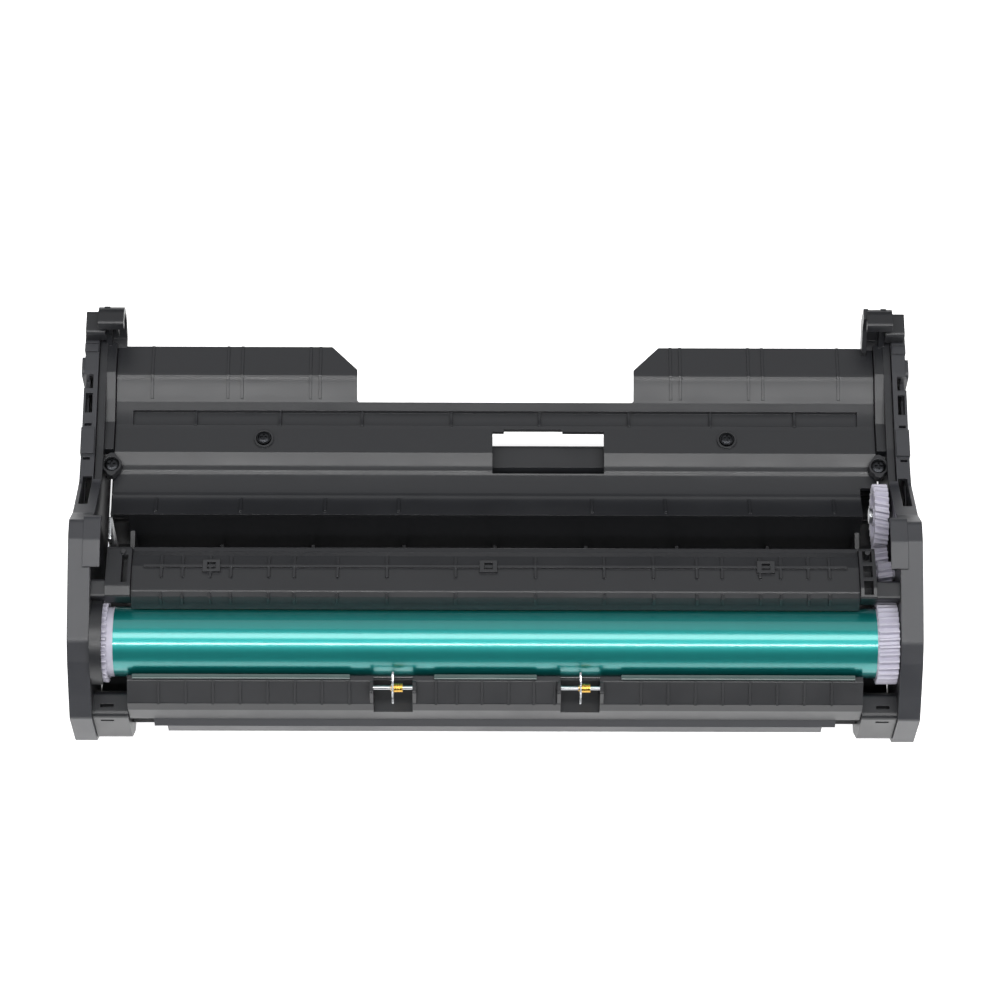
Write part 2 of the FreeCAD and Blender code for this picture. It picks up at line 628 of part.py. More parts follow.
def make_cleaner_housing():
    """Ribbed bar behind the drum: lip over the drum, domed top and a rear foot on the bracket."""
    body = new_body("cleaner_housing")
    lip_y = "drum_y + 7.8"
    lip_z = "drum_z + 9.9 + (lip_gap - 0.65)"
    section = [
        (lip_y, lip_z),
        (f"{lip_y} + 1", "drum_z + 9.5"),
        ("bar_front_y - 1.3", "bar_top_z - 4.8", "1.5"),
        ("bar_front_y - 0.3", "bar_top_z - 2.8"),
        ("bar_front_y + 0.8", "bar_top_z - cleaner_wall", "1"),
        ("bar_back_y - 8.7", "bar_top_z - 0.8 - cleaner_wall", "2"),
        ("bar_back_y - 4.3", "bar_top_z - 3.9", "1"),
        ("bar_back_y - 2.9", "plate_z"),
        ("bar_back_y", "plate_z"),
        ("bar_back_y", "bar_top_z - 3.8", "0.8"),
        ("bar_back_y - 1.9", "bar_top_z - 3.4"),
        ("bar_back_y - 4.1", "bar_top_z - 2.1"),
        ("bar_back_y - 8.5", "bar_top_z - 0.8"),
        ("bar_front_y", "bar_top_z", "1"),
        ("bar_front_y - 1.7", "bar_top_z - 1.2"),
        ("bar_front_y - 2.9", "bar_top_z - 3.7", "0.6"),
    ]
    band = [
        ("bar_front_y + 5", "bar_top_z - 0.9"),
        ("bar_back_y - 8.5", "bar_top_z - 1.4"),
        ("bar_back_y - 4.4", "bar_top_z - 2.6"),
        ("bar_back_y - 4.4", "bar_top_z - 1.2"),
        ("bar_back_y - 8.5", "bar_top_z - 0.1"),
        ("bar_front_y + 5", "bar_top_z + 0.4"),
    ]
    lower = [
        ("bar_front_y - 0.2", "bar_top_z - 0.8"),
        ("bar_front_y - 1.5", "bar_top_z - 1.7"),
        ("bar_front_y - 2.7", "bar_top_z - 4"),
        ("bar_front_y - 3.4", "bar_top_z - 3.6"),
        ("bar_front_y - 2.4", "bar_top_z - 0.9"),
        ("bar_front_y - 1", "bar_top_z + 0.2"),
    ]
    rib_row(body, "Ribs", band, both_sides(BAR_RIBS), "cleaner_half - 2", "bar_top_z - 8", "bar_top_z + 3")
    rib_row(body, "LowRibs", lower, both_sides(BAR_RIBS), "cleaner_half - 2", "bar_top_z - 8", "bar_top_z + 3")
    add(body, "Section", "YZ_Plane", [section], "-cleaner_half", "cleaner_half")
    seam = [
        ("bar_back_y - 9.2", "bar_top_z - 1.2"),
        ("bar_back_y - 8.2", "bar_top_z - 1.3"),
        ("bar_back_y - 8.2", "bar_top_z + 0.05"),
        ("bar_back_y - 9.2", "bar_top_z + 0.1"),
    ]
    add(body, "Seam", "YZ_Plane", [seam], "-cleaner_half + 4", "cleaner_half - 4")
    for number, place in enumerate(BAR_CLIPS):
        tab = box_corners(f"{place} - 3", "bar_back_y - 11", f"{place} + 3", "bar_back_y - 6.6")
        hole = box_corners(f"{place} - 1.4", "bar_back_y - 10", f"{place} + 1.4", "bar_back_y - 7.6")
        add(body, f"Clip{number}", "XY_Plane", [tab, hole], "bar_top_z - 1.6", "bar_top_z + 0.5")
    return body


def make_cleaner_end(side, label):
    """Bracket at one end of the cleaner, carried by an arm from the side plate."""
    body = new_body(label)
    near = "cleaner_half + 0.1"
    far = "cleaner_half + 5.6" if side > 0 else "cleaner_half + 8.6"
    block = [
        ("bar_front_y - 1.8", "plate_z - 1.2"),
        ("bar_back_y - 1", "plate_z - 1.2"),
        ("bar_back_y - 1", "bar_top_z - 1", "1.5"),
        ("bar_front_y + 1", "bar_top_z + 2", "2"),
        ("bar_front_y - 2.6", "bar_top_z + 1", "1"),
        ("bar_front_y - 2.6", "bar_top_z - 3.6"),
    ]
    add(body, "Block", "YZ_Plane", [block], *span(side, near, far))
    arm = [
        ("bar_front_y - 2.6", "bar_top_z - 2.6"),
        ("bar_front_y + 4", "bar_top_z - 2.6"),
        ("bar_front_y + 4", "bar_top_z + 1", "1"),
        ("bar_front_y - 2.6", "bar_top_z + 0.6", "1"),
    ]
    add(body, "Arm", "YZ_Plane", [arm], *span(side, f"{far} - 0.5", "frame_in"))
    if side > 0:
        left, right = span(side, f"{near} + 1.2", f"{far} - 1.2")
        cells = [
            box_corners(left, "bar_front_y - 1.4", right, "bar_front_y + 3.6"),
            box_corners(left, "bar_front_y + 5", right, "bar_front_y + 9.6"),
            box_corners(left, "bar_front_y + 11", right, "bar_back_y - 2.4"),
        ]
        cut(body, "Cells", "XY_Plane", cells, "plate_z + 1", "bar_top_z + 4")
    else:
        left, right = span(side, f"{near} + 1.2", f"{near} + 3.2")
        slot = box_corners(left, "bar_front_y + 2.4", right, "bar_back_y - 4.6")
        cut(body, "Slot", "XY_Plane", [slot], "plate_z + 1", "bar_top_z + 4")
    middle = f"{side} * (cleaner_half + 3)"
    add(body, "Peg", "XY_Plane", [(middle, "bar_back_y - 3.4", "0.9")], "plate_z", "bar_top_z + 0.4")
    return body


def make_waste_tank():
    """Trough for the auger under the cleaner housing, closed at both ends."""
    body = new_body("waste_tank")
    floor = f"{AUGER[1]} - auger_r - auger_room"
    plate_low = "plate_z - plate_thick"
    front = "drum_y + 13.4"
    shell = [
        (f"{front} - 0.4", "drum_z - 1.4"),
        (f"{front} + 2.6", f"{floor} - cleaner_wall", "2"),
        ("bar_back_y", f"{floor} - cleaner_wall", "2"),
        ("bar_back_y", plate_low),
        ("bar_back_y - cleaner_wall", plate_low),
        ("bar_back_y - cleaner_wall", floor, "1.5"),
        (f"{front} + 3.4", floor, "1.5"),
        (f"{front} + 0.9", "drum_z - 0.6"),
    ]
    add(body, "Trough", "YZ_Plane", [shell], "-cleaner_half", "cleaner_half")
    end = [
        (f"{front} + 2.6", f"{floor} - cleaner_wall + 0.6"),
        ("bar_back_y", f"{floor} - cleaner_wall + 0.6"),
        ("bar_back_y", plate_low),
        (f"{front} + 4.6", plate_low),
        (f"{front} + 0.6", "drum_z + 2"),
        (f"{front} + 0.2", "drum_z - 0.9"),
    ]
    hole = AUGER + ("auger_core + run_fit",)
    add(body, "LeftEnd", "YZ_Plane", [end, hole], "-cleaner_half", "-cleaner_half + cleaner_wall")
    add(body, "RightEnd", "YZ_Plane", [end, hole], "cleaner_half - cleaner_wall", "cleaner_half")
    return body


def blade_point(along, up):
    """A point measured from the blade's edge, along the blade's slope and square to it."""
    edge_y = "drum_y + (drum_r + blade_gap) * cos(blade_at)"
    edge_z = "drum_z + (drum_r + blade_gap) * sin(blade_at)"
    return (f"{edge_y} + ({along}) * cos(blade_tilt) - ({up}) * sin(blade_tilt)",
            f"{edge_z} + ({along}) * sin(blade_tilt) + ({up}) * cos(blade_tilt)")


def make_blade():
    """Urethane strip whose edge scrapes the drum, bonded on its steel bracket."""
    blade = new_body("cleaning_blade")
    strip = [blade_point("0", "0"), blade_point("blade_long", "0"),
             blade_point("blade_long", "blade_thick"), blade_point("0", "blade_thick")]
    add(blade, "Strip", "YZ_Plane", [strip], "-cleaner_half + 1.5", "cleaner_half - 1.5")
    bracket = new_body("blade_bracket")
    lead = "blade_long * 0.46"
    bend = "(plate_z - (drum_z + (drum_r + blade_gap) * sin(blade_at))) / sin(blade_tilt)"
    section = [
        blade_point(lead, "0"),
        blade_point(lead, "-plate_thick"),
        (blade_point(bend, "0")[0] + " + plate_thick * tan(blade_tilt / 2)", "plate_z - plate_thick"),
        ("bar_back_y", "plate_z - plate_thick"),
        ("bar_back_y", "plate_z"),
        (blade_point(bend, "0")[0], "plate_z"),
    ]
    add(bracket, "Plate", "YZ_Plane", [section], "-cleaner_half + 0.2", "cleaner_half - 0.2")
    holes = [(f"{sign} * cleaner_half * 0.8", "bar_back_y - 6", "screw_r") for sign in (-1, 0, 1)]
    cut(bracket, "Holes", "XY_Plane", holes, "plate_z - plate_thick - 1", "plate_z + 1")
    screws = new_body("blade_screws")
    heads = [(f"{sign} * cleaner_half * 0.8", "bar_back_y - 6", "screw_r * 1.5") for sign in (-1, 0, 1)]
    shanks = [(x, y, "screw_r - press_fit") for x, y, _ in holes]
    add(screws, "Shanks", "XY_Plane", shanks, "plate_z - plate_thick - 0.8", "plate_z + 0.2")
    add(screws, "Heads", "XY_Plane", heads, "plate_z", "plate_z + 0.9")
    return blade


def make_base_tray():
    """Floor between the side plates with the trough's walls and the charge roller's guides."""
    body = new_body("base_tray")
    top = "tray_bottom + tray_wall"
    floor = box_corners("foot_back + 0.2", "tray_bottom", "cover_front_y + 2.1", top)
    add(body, "Floor", "YZ_Plane", [floor], "-tray_half", "tray_half")
    toe = [
        ("guide_lip_y + 5", "tray_bottom + 8"),
        ("guide_lip_y + 8", "tray_bottom", "2"),
        ("foot_back + 1", "tray_bottom"),
        ("foot_back + 1", top),
        ("guide_lip_y + 9", top, "0.5"),
        ("guide_lip_y + 7", "tray_bottom + 8.6"),
    ]
    add(body, "Toe", "YZ_Plane", [toe], "-rail_half", "rail_half")
    rear = [
        ("cover_front_y + 0.1", "tray_bottom + 0.5"),
        ("cover_front_y + 2.1", "tray_bottom + 0.5"),
        ("cover_front_y + 2.1", "cover_front_z - cover_wall - 1.6"),
        ("cover_front_y + 0.1", "cover_front_z - cover_wall - 0.2"),
    ]
    add(body, "RearWall", "YZ_Plane", [rear], "-tray_inner_half", "tray_inner_half")
    partition = box_corners("partition_y - tray_wall", "tray_bottom + 0.5", "partition_y", "partition_top")
    add(body, "Partition", "YZ_Plane", [partition], "-tray_inner_half", "tray_inner_half")
    cheek = [
        ("partition_y - 0.5", "tray_bottom + 0.5"),
        ("cover_front_y + 1", "tray_bottom + 0.5"),
        ("cover_front_y + 1", "22"),
        ("2", "20", "3"),
        ("partition_y - 0.5", "22"),
    ]
    for number, side in enumerate((-1, 1)):
        add(body, f"Cheek{number}", "YZ_Plane", [cheek], *span(side, "tray_inner_half - 1.6", "tray_inner_half"))
    guides = []
    for side in (-1, 1):
        left, right = span(side, "block_near", "block_near + block_wide")
        front_face = f"{CHARGE[0]} - block_r - run_fit"
        back_face = f"{CHARGE[0]} + block_r + run_fit"
        guides.append(box_corners(left, f"{front_face} - 1.6", right, front_face))
        guides.append(box_corners(left, back_face, right, "partition_y - tray_wall + 0.2"))
    add(body, "Guides", "XY_Plane", guides, "tray_bottom + 0.5", f"{CHARGE[1]} + 0.5")
    slit = box_corners("-rail_half + 8", "drum_y - 10.5", "rail_half - 8", "drum_y - 4.5")
    cut(body, "LightSlit", "XY_Plane", [slit], "tray_bottom - 1", f"{top} + 1")
    ribs = [box_corners(f"{place} - 0.6", "partition_y - 0.2", f"{place} + 0.6", "cover_front_y + 0.3")
            for place in (-96, -64, -32, 0, 32, 64, 96)]
    add(body, "TroughRibs", "XY_Plane", ribs, "tray_bottom + 0.5", "tray_bottom + 6")
    return body


def make_star_pocket(body, number, centre):
    """Pocket in the rail's slope for one star wheel, with a cheek on each side for its pin."""
    sink = box_corners(f"{centre} - pocket_half", "rail_top_z - 9.4", f"{centre} + pocket_half", "rail_top_z + 2")
    cut(body, f"Pocket{number}", "XZ_Plane", [sink], "rail_back_y - 12", "rail_back_y + 1")
    tub = [
        ("rail_back_y - 0.6", "rail_top_z - 9.4"),
        ("rail_back_y", "rail_top_z - 9.4"),
        ("rail_back_y", "rail_top_z - 3"),
        ("rail_back_y - 0.6", "rail_top_z - 3"),
    ]
    add(body, f"PocketBack{number}", "YZ_Plane", [tub], f"{centre} - pocket_half - 1", f"{centre} + pocket_half + 1")
    floor = box_corners("rail_back_y - 9.7", "rail_top_z - 10.6", "rail_back_y", "rail_top_z - 9.4")
    add(body, f"PocketFloor{number}", "YZ_Plane", [floor], f"{centre} - pocket_half - 1", f"{centre} + pocket_half + 1")
    cheek = [
        ("rail_back_y", "rail_top_z - 10"),
        ("rail_back_y", "rail_top_z - 0.3"),
        ("rail_back_y - 2.4", "rail_top_z - 0.3"),
        ("star_y + 2.2", "star_z + 1", "0.8"),
        ("star_y - 2.2", "star_z + 1", "0.8"),
        ("rail_back_y - 9.2", "rail_top_z - 7"),
        ("rail_back_y - 9.2", "rail_top_z - 10"),
    ]
    hole = ("star_y", "star_z", "star_pin_r")
    for mark, near, far in (("A", f"{centre} - pocket_half - 1.2", f"{centre} - pocket_half"),
                            ("B", f"{centre} + pocket_half", f"{centre} + pocket_half + 1.2")):
        add(body, f"Cheek{number}{mark}", "YZ_Plane", [cheek[::-1], hole], near, far)


def make_front_rail():
    """Rail in front of the drum: sloping ribbed face, a shelf below it and two star wheel pockets."""
    body = new_body("front_rail")
    section = [
        ("rail_back_y", "rail_top_z - 1"),
        ("rail_back_y", "rail_top_z", "0.6"),
        ("rail_back_y - 2.2", "rail_top_z", "0.6"),
        ("rail_back_y - 8.7", "rail_top_z - 4.5", "0.8"),
        ("rail_back_y - 9.7", "rail_top_z - 8", "1"),
        ("rail_back_y - 9.7", "rail_top_z - 16"),
        ("rail_back_y - 9.7 + rail_wall", "rail_top_z - 16"),
        ("rail_back_y - 9.7 + rail_wall", "rail_top_z - 8.2"),
        ("rail_back_y - 7.4", "rail_top_z - 6"),
        ("rail_back_y - 2.7", "rail_top_z - 2.8"),
        ("rail_back_y - rail_wall", "rail_top_z - 2.6"),
        ("rail_back_y - rail_wall", "tray_bottom + tray_wall"),
        ("rail_back_y", "tray_bottom + tray_wall"),
    ]
    face = [
        ("rail_back_y - 2", "rail_top_z - 0.8"),
        ("rail_back_y - 2.4", "rail_top_z + 0.4"),
        ("rail_back_y - 9.2", "rail_top_z - 4.2"),
        ("rail_back_y - 8.6", "rail_top_z - 5.4"),
    ]
    places = both_sides(RAIL_RIBS_OUTER + RAIL_RIBS_INNER)
    rib_row(body, "Ribs", face, places, "rail_half - 2", "rail_top_z - 12", "rail_top_z + 3")
    add(body, "Section", "YZ_Plane", [section[::-1]], "-rail_half", "rail_half")
    for number, centre in enumerate(("star_left_x", "star_right_x")):
        make_star_pocket(body, number, centre)
    return body


def make_guide_plate():
    """Grey plate under the rail whose front lip shows below it, with its left end cut on a slant."""
    body = new_body("bottom_guide_plate")
    section = [
        ("rail_back_y - 9.7 + rail_wall", "rail_top_z - 16 - guide_thick"),
        ("rail_back_y - 9.7 + rail_wall", "rail_top_z - 16"),
        ("guide_lip_y + 2", "rail_top_z - 16", "1"),
        ("guide_lip_y", "rail_top_z - 19"),
        ("guide_lip_y + 1.2", "rail_top_z - 19 - guide_thick"),
    ]
    back = [
        ("rail_back_y - 9.7 + rail_wall - guide_thick", "rail_top_z - 16.5"),
        ("rail_back_y - 9.7 + rail_wall - guide_thick", "tray_bottom + 8"),
        ("rail_back_y - 9.7 + rail_wall", "tray_bottom + 8"),
        ("rail_back_y - 9.7 + rail_wall", "rail_top_z - 16.5"),
    ]
    add(body, "Lip", "YZ_Plane", [section[::-1]], "-guide_half", "guide_half")
    add(body, "Web", "YZ_Plane", [back], "-guide_half + 4", "guide_half - 4")
    return body


def make_star(label, centre, pin_label, hub_label):
    """Toothed disc on a steel pin, pressed on a brass hub that turns on the pin."""
    points = int(round(val("star_points")))
    outer = val("star_r")
    inner = outer * 0.74
    ring = []
    for index in range(points * 2):
        turn = math.pi * index / points
        radius = outer if index % 2 == 0 else inner
        ring.append(FreeCAD.Vector(0, radius * math.cos(turn), radius * math.sin(turn)))
    disc = Part.Face(Part.makePolygon(ring + ring[:1])).extrude(FreeCAD.Vector(val("star_thick"), 0, 0))
    bore = Part.makeCylinder(val("star_hub_r - 0.4 + press_fit"), 3, FreeCAD.Vector(-1, 0, 0), FreeCAD.Vector(1, 0, 0))
    wheel = doc.addObject("Part::Feature", label)
    wheel.Shape = disc.cut(bore)
    wheel.Placement.Base = FreeCAD.Vector(val(f"{centre} - star_thick / 2"), val("star_y"), val("star_z"))
    wheel.Label = label
    NODES[label] = wheel
    rod(pin_label, "star_y", "star_z", "star_pin_r - press_fit",
        f"{centre} - pocket_half - 1.2", f"{centre} + pocket_half + 1.2")
    hub = new_body(hub_label)
    bore_ring = ("star_y", "star_z", "star_pin_r + run_fit")
    add(hub, "Neck", "YZ_Plane", [("star_y", "star_z", "star_hub_r - 0.4"), bore_ring],
        f"{centre} - star_thick / 2 - 0.4", f"{centre} + star_thick / 2")
    add(hub, "Drum", "YZ_Plane", [("star_y", "star_z", "star_hub_r"), bore_ring],
        f"{centre} + star_thick / 2", f"{centre} + star_thick / 2 + 3")


def tooth_ring(teeth, turn):
    """Closed outline of a gear in the YZ plane: straight-sided teeth that follow the involute's chord."""
    size = val("module_size")
    pitch = size * teeth / 2
    base = pitch * math.cos(math.radians(20))
    tip = pitch + size * 0.82
    root = pitch - size * 1.12

    def half_angle(radius):
        lean = math.acos(min(1.0, base / radius))
        at_pitch = math.radians(20)
        return (math.pi / (2 * teeth) - val("backlash") / (4 * pitch)
                + (math.tan(at_pitch) - at_pitch) - (math.tan(lean) - lean))

    corners = []
    for index in range(teeth):
        middle = turn + 2 * math.pi * index / teeth
        for radius, offset in ((root, -half_angle(root)), (tip, -half_angle(tip)),
                               (tip, half_angle(tip)), (root, half_angle(root))):
            angle = middle + offset
            corners.append(FreeCAD.Vector(0, radius * math.cos(angle), radius * math.sin(angle)))
    return corners


def toothed(teeth, phase, hand, start, end):
    """Solid toothed ring about the X axis from start to end; hand 0 is straight, +1 and -1 are helical."""
    pitch = val("module_size") * teeth / 2
    slant = hand * math.tan(math.radians(val("helix_angle"))) / pitch
    wires = []
    for place in (start, end):
        turn = phase + slant * (place - val("gear_near"))
        ring = [point + FreeCAD.Vector(place, 0, 0) for point in tooth_ring(teeth, turn)]
        wires.append(Part.makePolygon(ring + ring[:1]))
    return Part.makeLoft(wires, True, True)


def meshed(phase, teeth, turn, other):
    """Phase of a gear whose teeth sit in the gaps of its driver, seen along the line of centres."""
    direction = math.radians(val(turn))
    half_pitch = math.pi / teeth
    return direction + math.pi - ((phase - direction) + half_pitch) * teeth / other


def disc(radius, start, end):
    return Part.makeCylinder(radius, end - start, FreeCAD.Vector(start, 0, 0), FreeCAD.Vector(1, 0, 0))


def gear(label, axis, shape):
    """A gear turned about the X axis, set on its own axis."""
    made = doc.addObject("Part::Feature", label)
    made.Shape = shape
    made.Placement.Base = FreeCAD.Vector(0, val(axis[0]), val(axis[1]))
    made.Label = label
    NODES[label] = made


def make_gears():
    """Helical train at the right end and the spur gear at the drum's left end."""
    near = val("gear_near")
    far = val(GEAR_FAR)
    drum_teeth = int(round(val("drum_teeth")))
    idler_teeth = int(round(val("idler_teeth")))
    auger_teeth = int(round(val("auger_teeth")))
    transfer_teeth = int(round(val("transfer_teeth")))
    upper_teeth = int(round(val("upper_teeth")))
    idler_phase = meshed(0.0, drum_teeth, "idler_turn", idler_teeth)
    auger_phase = meshed(idler_phase, idler_teeth, "auger_turn", auger_teeth)
    transfer_phase = meshed(idler_phase, idler_teeth, "transfer_turn", transfer_teeth)
    upper_phase = meshed(transfer_phase, transfer_teeth, "upper_turn", upper_teeth)

    tube_end = val("drum_half")
    bore_r = val("shaft_r + press_fit")
    plug_r = val("drum_r - drum_wall - press_fit")
    collar_r = val("drum_r - 0.1")
    last = val("frame_in - end_play")
    right = toothed(drum_teeth, 0.0, 1, tube_end + 0.4, last)
    right = right.fuse(disc(plug_r, tube_end - val("plug_len"), tube_end))
    right = right.fuse(disc(collar_r, tube_end, tube_end + 1))
    right = right.cut(disc(bore_r, tube_end - 20, last + 1))
    hollow = disc(plug_r - 2, last - 1.4, last + 1).cut(disc(bore_r + 2, last - 2, last + 2))
    gear("drum_gear_right", DRUM, right.cut(hollow))

    left_teeth = toothed(drum_teeth, 0.0, 0, -last, -tube_end - val("collar_len"))
    left = left_teeth.fuse(disc(collar_r, -tube_end - val("collar_len"), -tube_end))
    left = left.fuse(disc(plug_r, -tube_end, -tube_end + val("plug_len")))
    gear("drum_gear_left", DRUM, left.cut(disc(bore_r, -last - 1, 20 - tube_end)))

    pin_bore = val("pin_r + run_fit")
    train = (
        ("idler_gear", IDLER, idler_teeth, idler_phase, -1, pin_bore),
        ("auger_gear", AUGER, auger_teeth, auger_phase, 1, val("auger_core + press_fit")),
        ("transfer_gear", TRANSFER, transfer_teeth, transfer_phase, 1, pin_bore),
        ("upper_gear", UPPER, upper_teeth, upper_phase, -1, pin_bore),
    )
    for label, axis, teeth, phase, hand, bore in train:
        body = toothed(teeth, phase, hand, near, far)
        root = val("module_size") * (teeth / 2 - 1.12)
        if root > 6:
            dish = disc(root - 1.6, near - 1, near + 1.4).cut(disc(bore + 1.6, near - 2, near + 2))
            body = body.cut(dish)
            outer_dish = disc(root - 1.6, far - 1.4, far + 1).cut(disc(bore + 1.6, far - 2, far + 2))
            body = body.cut(outer_dish)
        gear(label, axis, body.cut(disc(bore, near - 1, far + 1)))


def make_gear_pins():
    """Steel pins of the idler, transfer and upper gears, pressed into the right side plate."""
    body = new_body("gear_pins")
    rings = [axis + ("pin_r - press_fit",) for axis in (IDLER, TRANSFER, UPPER)]
    add(body, "Pins", "YZ_Plane", rings, "gear_near - 0.6", FRAME_OUT)
    caps = [axis + ("pin_r + 0.9",) for axis in (IDLER, TRANSFER, UPPER)]
    add(body, "Caps", "YZ_Plane", caps, "gear_near - 1.2", "gear_near - 0.3")


def make_drum():
    rod("drum_tube", "drum_y", "drum_z", "drum_r", "-drum_half", "drum_half", "drum_r - drum_wall")
    rod("drum_shaft", "drum_y", "drum_z", "shaft_r", f"-({FRAME_OUT} + cap_gap)", f"{FRAME_OUT} + cap_gap")
    for side, label in ((-1, "shaft_bush_left"), (1, "shaft_bush_right")):
        start, end = span(side, "frame_in", FRAME_OUT)
        rod(label, "drum_y", "drum_z", "shaft_r + run_fit + bush_wall - press_fit", start, end, "shaft_r + run_fit")
    plate_at = "drum_half - plug_len - 0.6"
    rod("drum_ground_plate", "drum_y", "drum_z", "drum_r - drum_wall - press_fit",
        plate_at, f"{plate_at} + 0.5", "shaft_r + press_fit")


def make_charge_roller():
    rod("charge_roller", CHARGE[0], CHARGE[1], "charge_r", "-charge_half", "charge_half", "charge_shaft_r + press_fit")
    rod("charge_shaft", CHARGE[0], CHARGE[1], "charge_shaft_r",
        "-(block_near + block_wide + 0.8)", "block_near + block_wide + 0.8")
    low = f"{CHARGE[1]} - block_r - 1"
    for side, word in ((-1, "left"), (1, "right")):
        block = new_body(f"charge_block_{word}")
        round_top = [
            (f"{CHARGE[0]} - block_r", low),
            (f"{CHARGE[0]} + block_r", low),
            (f"{CHARGE[0]} + block_r", f"{CHARGE[1]} + block_r", "block_r * 0.94"),
            (f"{CHARGE[0]} - block_r", f"{CHARGE[1]} + block_r", "block_r * 0.94"),
        ]
        add(block, "Block", "YZ_Plane", [round_top, CHARGE + ("charge_shaft_r + run_fit",)],
            *span(side, "block_near", "block_near + block_wide"))
        make_spring(f"charge_spring_{word}", side, low)


def make_spring(label, side, top):
    """Compression spring between the tray's floor and a charge roller block."""
    floor = val("tray_bottom + tray_wall")
    wire = val("wire_r")
    turns = val("spring_turns")
    height = val(top) - floor - 2 * wire
    radius = min(val("spring_r"), val("block_wide") / 2 - wire)
    path = Part.makeHelix(height / turns, height, radius)
    start = FreeCAD.Vector(radius, 0, 0)
    corners = [start + FreeCAD.Vector(across, 0, up) for across, up in
               ((-wire, -wire), (wire, -wire), (wire, wire), (-wire, wire))]
    section = Part.makePolygon(corners + corners[:1])
    coil = Part.Wire(path).makePipeShell([section], True, True)
    made = doc.addObject("Part::Feature", label)
    # A sweep can come out with its faces pointing inwards, which a negative volume shows.
    made.Shape = coil if coil.Volume > 0 else coil.reversed()
    middle = side * val("block_near + block_wide / 2")
    made.Placement.Base = FreeCAD.Vector(middle, val(CHARGE[0]), floor + wire)
    made.Label = label
    NODES[label] = made


def make_auger():
    """Waste auger: a shaft with a screw flight, carried by the tank's ends and the right side plate."""
    core = val("auger_core")
    start = val("-cleaner_half")
    end = val(FRAME_OUT)
    flight_from = val("-cleaner_half + cleaner_wall + 1")
    flight_long = val("2 * (cleaner_half - cleaner_wall) - 2")
    outer = val("auger_r")
    path = Part.makeHelix(val("auger_pitch"), flight_long - 1, outer)
    corners = [FreeCAD.Vector(across, 0, up) for across, up in
               ((core - 0.4, -0.5), (outer, -0.35), (outer, 0.35), (core - 0.4, 0.5))]
    flight = Part.Wire(path).makePipeShell([Part.makePolygon(corners + corners[:1])], True, True)
    flight.rotate(FreeCAD.Vector(0, 0, 0), FreeCAD.Vector(0, 1, 0), 90)
    flight.translate(FreeCAD.Vector(flight_from + 0.5, 0, 0))
    made = doc.addObject("Part::Feature", "waste_auger")
    made.Shape = disc(core, start, end).fuse(flight)
    made.Placement.Base = FreeCAD.Vector(0, val(AUGER[0]), val(AUGER[1]))
    made.Label = "waste_auger"
    NODES["waste_auger"] = made


def make_small_pieces():
    film = new_body("recovery_film")
    front = "drum_y + 13.4"
    strip = [
        (f"{front} - 0.4", "drum_z - 1.4"),
        (f"{front} + 0.9", "drum_z - 0.6"),
        (f"{front} + 0.9", "drum_z - 0.35"),
        (f"{front} - 0.9", "drum_z + 2.6"),
        (f"{front} - 1.1", "drum_z + 2.5"),
        (f"{front} - 0.4", "drum_z - 0.9"),
    ]
    add(film, "Film", "YZ_Plane", [strip], "-cleaner_half + 4", "cleaner_half - 4")

    seals = new_body("drum_seals")
    pad_front = "drum_y + drum_r + 0.4"
    pad = box_corners(pad_front, "drum_z + 0.5", "drum_y + 13.5", "drum_z + 5")
    for number, side in enumerate((-1, 1)):
        add(seals, f"Pad{number}", "YZ_Plane", [pad], *span(side, "cleaner_half - 3", "cleaner_half"))
    return film


def make_tie_bar():
    """Stepped bar between the side plates, seen through the cover's window."""
    body = new_body("rear_tie_bar")
    section = [
        ("tie_front_y", "tie_top_z - 4"),
        ("tie_front_y + 3", "tie_top_z - 4"),
        ("tie_front_y + 4.4", "tie_top_z - tie_thick"),
        ("tie_back_y - tie_thick", "tie_top_z - tie_thick"),
        ("tie_back_y - tie_thick", "tie_top_z - 7"),
        ("tie_back_y", "tie_top_z - 7"),
        ("tie_back_y", "tie_top_z", "1.5"),
        ("tie_front_y + 3.2", "tie_top_z"),
        ("tie_front_y + 2", "tie_top_z - 4 + tie_thick"),
        ("tie_front_y", "tie_top_z - 4 + tie_thick"),
    ]
    add(body, "Bar", "YZ_Plane", [section], "-frame_in", "frame_in")
    return body


def make_screws():
    """Cover screws in the two bosses and the screws at the cover's ends."""
    cover = new_body("cover_screws")
    places = ("-boss_x", "boss_x")
    add(cover, "Shanks", "XY_Plane", [(x, "boss_y", "screw_r - press_fit") for x in places],
        "cover_dip_z - 3.8", "cover_mid_z - 1")
    add(cover, "Heads", "XY_Plane", [(x, "boss_y", "boss_r - 0.35") for x in places],
        "cover_mid_z - 1.2", "cover_mid_z + 0.9")
    return cover


make_side_frame(-1, "side_frame_left")
make_side_frame(1, "side_frame_right")
make_end_cover(-1, "end_cover_left")
make_end_cover(1, "end_cover_right")
make_upper_cover()
make_cleaner_housing()
make_cleaner_end(-1, "cleaner_end_left")
make_cleaner_end(1, "cleaner_end_right")
make_waste_tank()
make_blade()
make_base_tray()
make_front_rail()
make_guide_plate()
make_star("star_wheel_left", "star_left_x", "star_pin_left", "star_hub_left")
make_star("star_wheel_right", "star_right_x", "star_pin_right", "star_hub_right")
make_gears()
make_gear_pins()
make_drum()
make_charge_roller()
make_auger()
make_small_pieces()
make_tie_bar()
make_screws()

doc.recompute()
for item in doc.Objects:
    if "Invalid" in item.State or "Error" in item.State:
        raise RuntimeError(f"{item.Label} ({item.TypeId}) failed: {item.State}")
for label, node in NODES.items():
    if node.Shape.isNull() or not node.Shape.isValid():
        raise RuntimeError(f"{label} has no valid shape")

